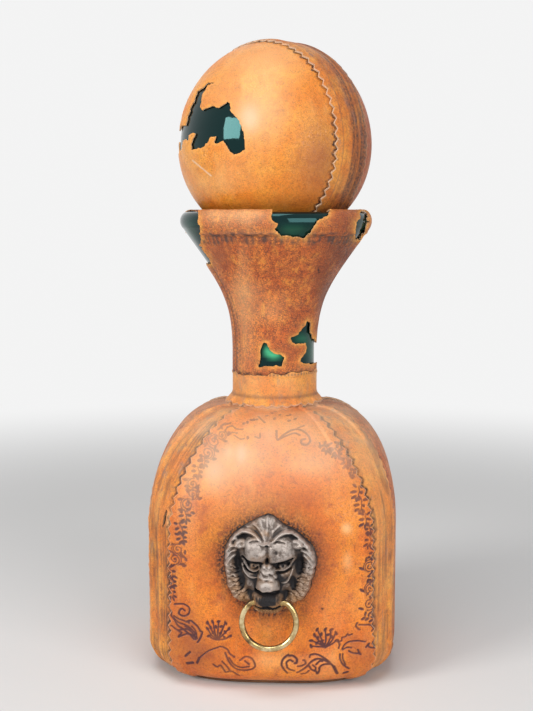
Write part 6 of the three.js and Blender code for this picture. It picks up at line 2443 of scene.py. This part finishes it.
@dataclass
class LionMask:
    """The cast lion's mask that holds the ring."""

    seat: float = 66.3  # its flat back, in front of the axis
    middle: float = 66.0  # height above the table
    pivot_drop: float = 16.2  # ring's axis below its middle
    pivot_out: float = 7.6  # ring's axis in front of its back
    ring_aside: float = 1.2  # how far the ring hangs to the right
    ring_lean: float = 20.0  # degrees from upright at which the raised ring lies on the face
    plan_half: float = 26.0  # half the side of the relief's plan
    plan_step: float = 0.2
    grid_side: int = 271  # points along a side of its grid
    outline: tuple[complex, ...] = (
        0.5 + 27.2j, -4.4 + 25.2j, -8.6 + 23j, -12.6 + 20.6j, -16 + 18.2j, -18.8 + 15j, -20.6 + 11.8j,
        -21.6 + 8.5j, -21.7 + 4.3j, -21.4 + 0j, -20.7 - 3j, -20.4 - 6.6j, -19.6 - 10.3j, -18.2 - 13j,
        -16.6 - 15.6j, -13.8 - 17.2j, -9.6 - 18.4j, -5 - 20.6j, -0.8 - 22j, 3.4 - 22.2j, 7.4 - 20.8j,
        11.2 - 18.8j, 14.2 - 17.6j, 17.2 - 16.2j, 19.6 - 13.9j, 21.4 - 10.3j, 22.4 - 6.6j, 23.8 - 1.8j,
        24.6 + 2.4j, 24.7 + 5.4j, 23.8 + 9j, 22.2 + 12j,
        19.2 + 14.8j, 16.4 + 17.4j, 13 + 19.9j, 8.8 + 21.8j, 5.8 + 24j, 3.2 + 26.2j,
    )
    shaded: tuple[tuple[complex, float, float, float], ...] = (
        (-14.4 + 2.4j, 2.6, 5.6, 0.7), (16.2 + 1.8j, 2.8, 5.2, 0.7), (-12.4 - 6.8j, 2.2, 4.2, 0.5),
        (13.2 - 7.4j, 2.2, 4, 0.5), (0.4 - 14.2j, 5.6, 4.4, 1.3), (-6.6 + 4.2j, 4.6, 1, 0.5),
        (7.4 + 3.8j, 5, 1, 0.5), (-11.9 + 15.6j, 2.4, 1.3, 0.5), (12 + 15.4j, 2.4, 1.3, 0.5),
        (0.2 + 3.4j, 0.8, 2, 0.3), (-5.4 - 3.6j, 1.6, 3, 0.45), (6.2 - 4j, 1.6, 3, 0.45),
        (-6.5 + 2.2j, 1.7, 1.1, 0.6), (7.9 + 2.3j, 1.9, 1.1, 0.6), (9.6 - 4j, 3.2, 3.4, 0.4),
        (-8.4 - 4.4j, 2.6, 2.6, 0.35), (-4.8 - 14j, 2.6, 4, 0.45), (6 - 14j, 2.6, 4, 0.45),
        (0.6 - 19.6j, 5, 1.6, 0.4), (5.6 + 9.6j, 1.6, 2, 0.25),
    )  # painted shade in the mane's hollows, the mouth, under the brow, on the eyes and cheeks: middle, reach across, reach up and strength

    def edge(self, angle: np.ndarray) -> np.ndarray:
        """How far the mane reaches from the middle at an angle in radians."""
        curve = smooth_curve([*self.outline, self.outline[0]], 6)[:-1]
        reach = np.interp(angle, np.angle(curve), np.abs(curve), period=2 * math.pi)
        return reach + 0.5 * np.abs(np.sin(11.0 * angle)) * smooth(np.sin(angle), 0.35, 0.0) - 0.2

    def mane(self, face: Relief, out: np.ndarray) -> None:
        """Models the mane: a fan of locks on the crown, locks over the ears, and tufts down the sides.

        Args:
            face: The relief, changed in place.
            out: Share of the way out to the outline at each point.
        """
        face.height += 1.2 * np.exp(-(((out - 0.86) / 0.14) ** 2)) * smooth(face.up, 12.0, 4.0)
        crown = 0.2 + 12.4j
        for index, turn in enumerate(np.radians(np.linspace(30.0, 150.0, 15))):
            tip = 0.97 * float(self.edge(np.array(turn))) * np.exp(1j * turn)
            base = crown + 1.8 * np.exp(1j * turn)
            lock = [base, 0.5 * (base + tip) + (0.6 + 0.9 * (index % 2)) * 1j, tip]
            face.strand(lock, 0.85, 0.7 + 0.55 * (index % 2) + 0.3 * math.sin(5.0 * index), 0.1)
        for lock in (
            [-2.2 + 13.6j, -6.4 + 17.4j, -11.4 + 18.6j, -16 + 16.4j, -18.8 + 12.2j],
            [2.4 + 13.4j, 6.8 + 17.2j, 11.8 + 18.2j, 16.6 + 15.4j, 20.4 + 11.4j],
        ):
            face.strand(lock, 1.25, 1.9, 0.3)
            face.strand([spot + 1.9j for spot in lock[:4]], 0.42, -0.7, 0.2)
            face.strand([spot - 1.5j for spot in lock[:3]], 0.42, -0.5, 0.2)
        for spot, lobe, turn in ((-11.9 + 15.6j, -12.6 + 12.6j, 14.0), (12 + 15.4j, 14.2 + 12.7j, -16.0)):
            face.lump(spot, 2.6, 1.4, -3.6, turn)
            face.swell(lobe, 3.3, 2.4, 7.3, 2.2, turn, 2.8)
            face.lump(lobe + 0.3j, 1.5, 0.9, -0.9, turn)
        for lock in (
            [-15.6 + 11.6j, -18 + 10.8j, -20.2 + 8.2j], [-15.8 + 9.4j, -18 + 8.4j, -20.4 + 5.2j],
            [-15.8 + 7j, -17.8 + 5.4j, -20 + 2.2j], [17 + 12j, 19.4 + 11j, 22 + 8.2j],
            [17.4 + 9.6j, 20 + 8.2j, 22.8 + 5j], [18.4 + 7.2j, 20.4 + 5.2j, 22.6 + 2j],
        ):
            face.strand(lock, 0.8, 1.7, 0.2)
        for side, first, last in ((1, 4.0, -50.0), (-1, 176.0, 230.0)):
            for index, turn in enumerate(np.radians(np.linspace(first, last, 8))):
                reach = float(self.edge(np.array(turn)))
                lean = math.degrees(turn) + side * (18.0 + 14.0 * (index % 2))
                for far, size, top in ((0.9, 2.3, 6.4), (0.74, 1.9, 5.4)):
                    spot = reach * far * np.exp(1j * (turn + side * 0.07 * (far < 0.8)))
                    face.swell(spot, size, 0.62 * size, top + 0.5 * (index % 2), 2.6, lean, 2.2)
                    way = 0.8 * size * np.exp(1j * math.radians(lean))
                    face.strand([spot - way, spot + 0.3j * way, spot + way], 0.34, -0.9, 0.3)
        for spot, wide, high, deep in (
            (-14.4 + 2.2j, 2.2, 5.4, -4.2), (16.2 + 1.6j, 2.3, 5.2, -4.2), (-12.2 - 6.8j, 2, 4.4, -2.8),
            (13 - 7.4j, 2.1, 4.2, -2.8), (-9 - 12j, 1.8, 3.2, -2.2), (9.8 - 12.4j, 1.8, 3, -2.2),
        ):
            face.lump(spot, wide, high, deep)

    @staticmethod
    def brow(face: Relief) -> None:
        """Models the brow, with a furrow down its middle.

        Args:
            face: The relief, changed in place.
        """
        face.lump(0.4 + 9.8j, 9.0, 6.0, 1.4)
        face.swell(0.4 + 10j, 3.2, 5.6, 9.7, 2.4, 0.0, 3.0)
        face.swell(-5.3 + 9.4j, 4.7, 5.7, 10.9, 2.5, 6.0, 3.0)
        face.swell(6.2 + 9.2j, 6.2, 5.7, 10.9, 2.5, 8.0, 3.0)
        face.lump(4.5 + 9.4j, 1.2, 1.9, -1.2, -20.0)
        face.strand([-0.1 + 14.5j, 0.5 + 8.4j, 0.2 + 4.6j], 0.9, -1.0, 0.0)
        face.strand([0.4 + 5.8j, 0.2 + 1.8j], 0.6, -1.8, 0.0)
        face.strand([-8.4 + 14.1j, -5.4 + 14.9j, -1.9 + 14.3j], 0.42, -1.2, 0.2)
        face.strand([2.6 + 14j, 5.6 + 14.7j, 9 + 14.1j], 0.42, -1.2, 0.2)

    @staticmethod
    def eyes(face: Relief) -> None:
        """Models the sockets, eyeballs and lids, and the folds of the cheeks below them.

        Args:
            face: The relief, changed in place.
        """
        for spot, wide, turn in ((-6.8 + 2j, 4.4, -10.0), (7.8 + 2.2j, 4.8, 14.0)):
            face.lump(spot, wide, 2.0, -4.2, turn)
        face.strand([-12 + 6j, -8.4 + 4.1j, -4 + 4j, -1.4 + 2.4j], 0.62, -2.2, 0.0)
        face.strand([1.6 + 2.6j, 6.8 + 3.8j, 12.6 + 5.9j], 0.7, -2.4, 0.0)
        for ball, wide in ((-6.5 + 2j, 1.8), (7.9 + 2.1j, 2.0)):
            face.swell(ball, wide, 1.5, 7.8, 2.0)
            face.lump(ball + 0.1j, 0.75, 0.75, -1.4)
        lid = [-10.9 + 3.5j, -9 + 0.8j, -6.2 - 0.3j, -3.9 + 0.8j, -4.2 + 2.5j, -5.2 + 2.4j]
        face.strand(lid, 0.6, 2.7, 0.1)
        face.strand([4.8 + 0.2j, 8.4 + 0.5j, 11.2 + 2.1j, 12.7 + 4.7j], 0.56, 2.7, 0.0)
        face.strand([-11.4 + 1.2j, -8.6 - 1j, -5.4 - 1.4j], 0.6, -1.7, 0.3)
        face.strand([4.6 - 1.2j, 8.8 - 0.9j, 11.8 + 0.8j], 0.6, -1.7, 0.3)
        face.strand([-12.3 + 2.4j, -10.6 - 1.4j, -7.6 - 3.6j, -4.2 - 3.2j], 0.55, 1.9, 0.2)
        face.strand([12.9 + 0.8j, 11.8 - 2.5j, 10 - 5.7j, 7.2 - 6.1j], 0.55, 1.8, 0.2)

    @staticmethod
    def muzzle(face: Relief) -> None:
        """Models the ridge of the nose, the chin, the nose's tip, the mouth and the hair about it.

        Args:
            face: The relief, changed in place.
        """
        face.swell(0.3 + 1j, 2.8, 3.0, 9.4, 2.4, 0.0, 2.6)
        face.swell(0.4 - 1.6j, 3.8, 3.2, 11.0, 2.6, 0.0, 3.0)
        face.swell(0.4 - 4.4j, 4.3, 3.0, 12.6, 2.6, 0.0, 3.0)
        for fold in (
            [-3 - 0.4j, -1.2 - 2j, 0.6 - 2.1j],
            [1.6 - 1.2j, 3.4 - 2.2j, 4.6 - 3.8j],
            [-3.6 - 3.4j, -1.6 - 4.2j, 0.6 - 3.8j],
        ):
            face.strand(fold, 0.4, -0.8, 0.0)
        face.swell(0.5 - 16.4j, 7.1, 5.6, 10.9, 3.4, 0.0, 4.5)
        face.lump(-3.8 - 14.6j, 2.2, 2.2, 0.9)
        face.lump(4.6 - 14.6j, 2.2, 2.2, 0.9)
        face.swell(0.7 - 7.1j, 4.6, 3.1, 14.6, 2.6, -2.0, 3.6)
        face.lump(-2.2 - 6.4j, 1.6, 1.3, 0.5)
        face.strand([-4.8 - 10.3j, -2 - 10.7j, 0.8 - 10.1j, 5.2 - 10.1j], 0.8, -4.2, 0.0)
        for nostril in (-3.4 - 9.4j, 4 - 9.2j):
            face.lump(nostril, 1.1, 0.8, -2.2)
        face.strand([-5.4 - 17.8j, -2.6 - 18.5j, 0.6 - 18j, 3.6 - 18.6j, 6.6 - 17.8j], 0.6, -2.0, 0.0)
        for x in (-3.9, -2.5, -1.0, 0.5, 2.0, 3.5, 4.9):
            low = -15.4 - 0.5 * math.sin(3.0 * x)
            face.strand([complex(x, -12.6), complex(1.04 * x, low)], 0.42, 0.35, 0.2)
            face.strand([complex(x + 0.5, -19), complex(1.08 * x + 0.4, -21.6)], 0.46, 1.2, 0.2)

    def build(self, finishes: Finishes) -> None:
        """Makes the mask and puts it in its node's stead.

        Args:
            finishes: The materials.
        """
        face = Relief(self.plan_half, self.plan_step)
        angle = np.arctan2(face.up, face.across)
        out = np.clip(np.hypot(face.across, face.up) / self.edge(angle), 0.0, 1.0)
        face.height += 2.6 + 4.6 * (1.0 - out**2)
        self.mane(face, out)
        self.brow(face)
        self.eyes(face)
        self.muzzle(face)
        spots = np.stack([face.across, face.up], axis=-1)
        face.height += 0.3 * cloud(spots, 2.6, 171, 4)
        face.height = np.maximum(face.height, 1.6)
        lean = math.radians(self.ring_lean)
        from_pivot = np.maximum(face.up + self.pivot_drop, 0.0) / math.cos(lean)
        clear = self.pivot_out + from_pivot * math.sin(lean) - 1.8
        hoop = smooth(np.abs(face.across - self.ring_aside), 7.2, 8.2) * (face.up > -self.pivot_drop)
        face.height = np.where(hoop > 0.5, np.minimum(face.height, clear), face.height)
        rim = smooth(out, 1.0, 0.93) ** 0.5
        face.height = 1.2 + (face.height - 1.2) * rim
        cavity_and_shade = (face.blurred(1.3) - face.height) / 1.6 + (face.blurred(4.0) - face.height) / 8.0 - 0.12
        # Painted shade added to the darkening of the hollows.
        for spot, wide, high, strength in self.shaded:
            cavity_and_shade = cavity_and_shade + strength * np.exp(-face.share(spot, wide, high, 0.0, 2.0))
        share, turn = disc_grid(self.grid_side)
        reach = share * self.edge(turn)
        across, up = reach * np.cos(turn), reach * np.sin(turn)
        height = face.sample(face.height, across, up)
        outer = np.stack([across, -(self.seat + height), self.middle + up], axis=-1)
        inner = np.stack([across, np.full(across.shape, -self.seat), self.middle + up], axis=-1)
        brown = smooth(up, 3.0, -8.0) * smooth(share, 0.45, 0.75) + 0.6 * smooth(up, -13.0, -17.0)
        brown = np.maximum(brown, 0.6 * smooth(cloud(outer, 6.0, 175, 3), -0.05, 0.4))
        marks = {
            Mark.CAVITY_AND_SHADE: np.clip(face.sample(cavity_and_shade, across, up), -1.0, 1.0),
            Mark.TONE: brown * (0.75 + 0.5 * cloud(outer, 4.0, 173, 2)),
        }
        piece = shell("lion_face", outer, inner, marks, crease=75.0)
        place(piece, "lion_mask", Body.DECANTER, "aged_bronze", finishes.bronze)


@dataclass
class PullRing:
    """The open wire hoop whose turned-in ends swing in the muzzle."""

    pivot: tuple[float, float] = (-73.9, 49.8)  # out and up
    radius: float = 13.4  # to the middle of the wire
    wire: float = 1.5
    pin_inner: float = 4.375
    pin_outer: float = 7.375
    aside: float = 1.2  # how far it hangs to the right
    opening: float = 45.0  # degrees from level at which the hoop ends
    drop: float = 0.75
    spokes: int = 28

    def path(self) -> np.ndarray:
        """The wire's middle line, across and up, as complex numbers."""
        end = self.radius * math.cos(math.radians(self.opening))
        up = self.pivot[1]
        middle = up - self.drop - end
        corner = complex(end - self.drop, up)
        start, finish = complex(self.pin_outer, up), complex(end, up - self.drop)
        share = np.linspace(0.0, 1.0, 12)
        bend = (1 - share) ** 2 * start + 2 * share * (1 - share) * corner + share**2 * finish
        sweep = np.linspace(math.radians(self.opening), math.radians(-180.0 - self.opening), 150)[1:-1]
        hoop = 1j * middle + self.radius * np.exp(1j * sweep)
        pin = np.linspace(self.pin_inner, self.pin_outer, 8, endpoint=False) + 1j * up
        half = np.concatenate([pin, bend])
        return np.concatenate([half, hoop, -np.conj(half[::-1])])

    def build(self, finishes: Finishes) -> None:
        """Makes the ring and puts it in its node's stead.

        Args:
            finishes: The materials.
        """
        path = self.path()
        way = np.gradient(path)
        way /= np.abs(way)
        aside = -1j * way
        radius = np.full(len(path), self.wire)
        radius[[0, -1]] = 0.0
        radius[[1, -2]] = 0.8 * self.wire
        around = np.linspace(0.0, 2 * math.pi, self.spokes, endpoint=False)[None, :]
        wide = radius[:, None] * np.cos(around)
        rows = np.stack(
            [
                self.aside + path.real[:, None] + aside.real[:, None] * wide,
                self.pivot[0] + radius[:, None] * np.sin(around),
                path.imag[:, None] + aside.imag[:, None] * wide,
            ],
            axis=-1,
        )
        ends = np.minimum(np.arange(len(path)), np.arange(len(path))[::-1])[:, None]
        # Painted shade on the wire's inner and outer edges; darker towards its ends, with patchy tarnish.
        sides = 0.5 * smooth(np.abs(np.cos(around)), 0.55, 1.0)
        dull = 0.35 * smooth(ends, 34.0, 12.0) + sides + 0.6 * cloud(rows, 5.0, 181, 3) - 0.2
        piece = turned("hoop", rows, {Mark.CAVITY_AND_SHADE: dull, Mark.TONE: np.zeros(dull.shape)})
        place(piece, "pull_ring", Body.RING, "bright_brass", finishes.brass)


# Studio


@dataclass(frozen=True)
class SoftLight:
    """A square of soft light aimed at the decanter."""

    name: str
    place: tuple[float, float, float]  # metres
    wide: float
    high: float
    level: float  # how brightly it lights a white surface that faces it, where 1 is white
    tint: Colour = (1.0, 1.0, 1.0)
    aim: tuple[float, float, float] = (0.0, 0.0, 0.16)

    def build(self) -> None:
        """Hangs the light."""
        lamp = bpy.data.lights.new(self.name, "AREA")
        lamp.shape, lamp.size, lamp.size_y, lamp.color = "RECTANGLE", self.wide, self.high, self.tint
        away = Vector(self.place) - Vector(self.aim)
        lamp.energy = self.level * math.pi**2 * away.length_squared
        hung = bpy.data.objects.new(self.name, lamp)
        hung.location = self.place
        hung.rotation_euler = away.to_track_quat("Z", "Y").to_euler()
        bpy.context.scene.collection.objects.link(hung)


@dataclass
class Studio:
    """The camera of the photograph, soft lights and a pale floor that fades into a pale backdrop."""

    view: PhotoView
    backdrop: Colour = (0.9, 0.9, 0.9)
    floor: Colour = (0.8, 0.8, 0.8)
    ambient: float = 0.2
    fade_from: float = 0.35  # metres from the decanter
    fade_to: float = 0.9
    floor_reach: float = 4.0

    def build(self) -> None:
        """Sets up the studio."""
        self.build_camera()
        for light in (
            SoftLight("window", (-1.0, -0.85, 0.64), 0.5, 0.46, 0.5, (1.0, 0.98, 0.95)),
            SoftLight("overhead", (-0.15, -0.5, 1.7), 0.9, 0.9, 0.46),
            SoftLight("fill", (0.85, -1.15, 0.5), 0.9, 0.9, 0.53),
        ):
            light.build()
        self.build_world()
        self.build_floor()
        bpy.context.scene.view_settings.view_transform = "Standard"

    def build_camera(self) -> None:
        """Sets up the camera."""
        view = self.view
        camera = bpy.data.cameras.new("photo_camera")
        camera.sensor_width = 36.0
        camera.lens = view.focal / max(view.width, view.height) * camera.sensor_width
        camera.dof.use_dof = False
        held = bpy.data.objects.new("photo_camera", camera)
        held.location = Vector(view.eye()) * MILLIMETRE
        held.rotation_euler = (math.radians(90.0 - view.pitch), 0.0, math.radians(view.turn))
        bpy.context.scene.collection.objects.link(held)
        bpy.context.scene.camera = held

    @staticmethod
    def seen(wiring: Wiring) -> Socket:
        """Is 1 for rays that show the backdrop itself: straight, mirrored or through glass."""
        path = wiring.node("LightPath")
        shown = wiring.math("ADD", path.outputs["Is Camera Ray"], path.outputs["Is Glossy Ray"])
        return wiring.math("ADD", shown, path.outputs["Is Transmission Ray"], True)

    def build_world(self) -> None:
        """Sets up the backdrop and the light that comes from all round."""
        world = bpy.data.worlds.new("studio")
        world.use_nodes = True
        bpy.context.scene.world = world
        wiring = Wiring(world.node_tree)
        dim = (self.ambient, self.ambient, self.ambient)
        colour = wiring.mix(self.seen(wiring), dim, self.backdrop)
        wiring.fill(world.node_tree.nodes["Background"], {"Color": colour})

    def build_floor(self) -> None:
        """Lays the floor: it keeps the shadow near the decanter and turns into the backdrop farther out."""
        turns = np.linspace(0.0, 2 * math.pi, 96, endpoint=False)
        rim = [(self.floor_reach * math.cos(turn), self.floor_reach * math.sin(turn), 0.0) for turn in turns]
        mesh = bpy.data.meshes.new("floor")
        mesh.from_pydata(rim, [], [tuple(range(len(rim)))])
        floor = bpy.data.objects.new("floor", mesh)
        bpy.context.scene.collection.objects.link(floor)
        material, wiring, shader = new_material("floor_paper")
        wiring.fill(shader, {"Base Color": self.floor, "Roughness": 0.9, "Specular IOR Level": 0.1})
        glow = wiring.fill(wiring.node("Emission"), {"Color": self.backdrop})
        length = wiring.fill(wiring.node("VectorMath", operation="LENGTH"), {0: wiring.place()})
        far = wiring.span(length.outputs["Value"], self.fade_from, self.fade_to)
        shown = wiring.times(far, self.seen(wiring))
        blend = wiring.node("MixShader")
        wiring.fill(blend, {0: shown, 1: shader.outputs[0], 2: glow.outputs[0]})
        wiring.fill(material.node_tree.nodes["Material Output"], {"Surface": blend.outputs[0]})
        mesh.materials.append(material)


def main() -> None:
    """Builds the decanter and its studio."""
    logging.basicConfig(level=logging.INFO, format="%(name)s: %(message)s")
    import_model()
    form, view = BottleForm(), PhotoView()
    finishes = Finishes()
    for assembly in (
        GlassBottle(form, view),
        SolePad(form),
        BodyHides(form, view),
        NeckHides(form, view),
        BallStopper(BallForm(), form, view),
        LionMask(),
        PullRing(),
    ):
        assembly.build(finishes)
    Studio(view).build()


if __name__ == "__main__":
    main()
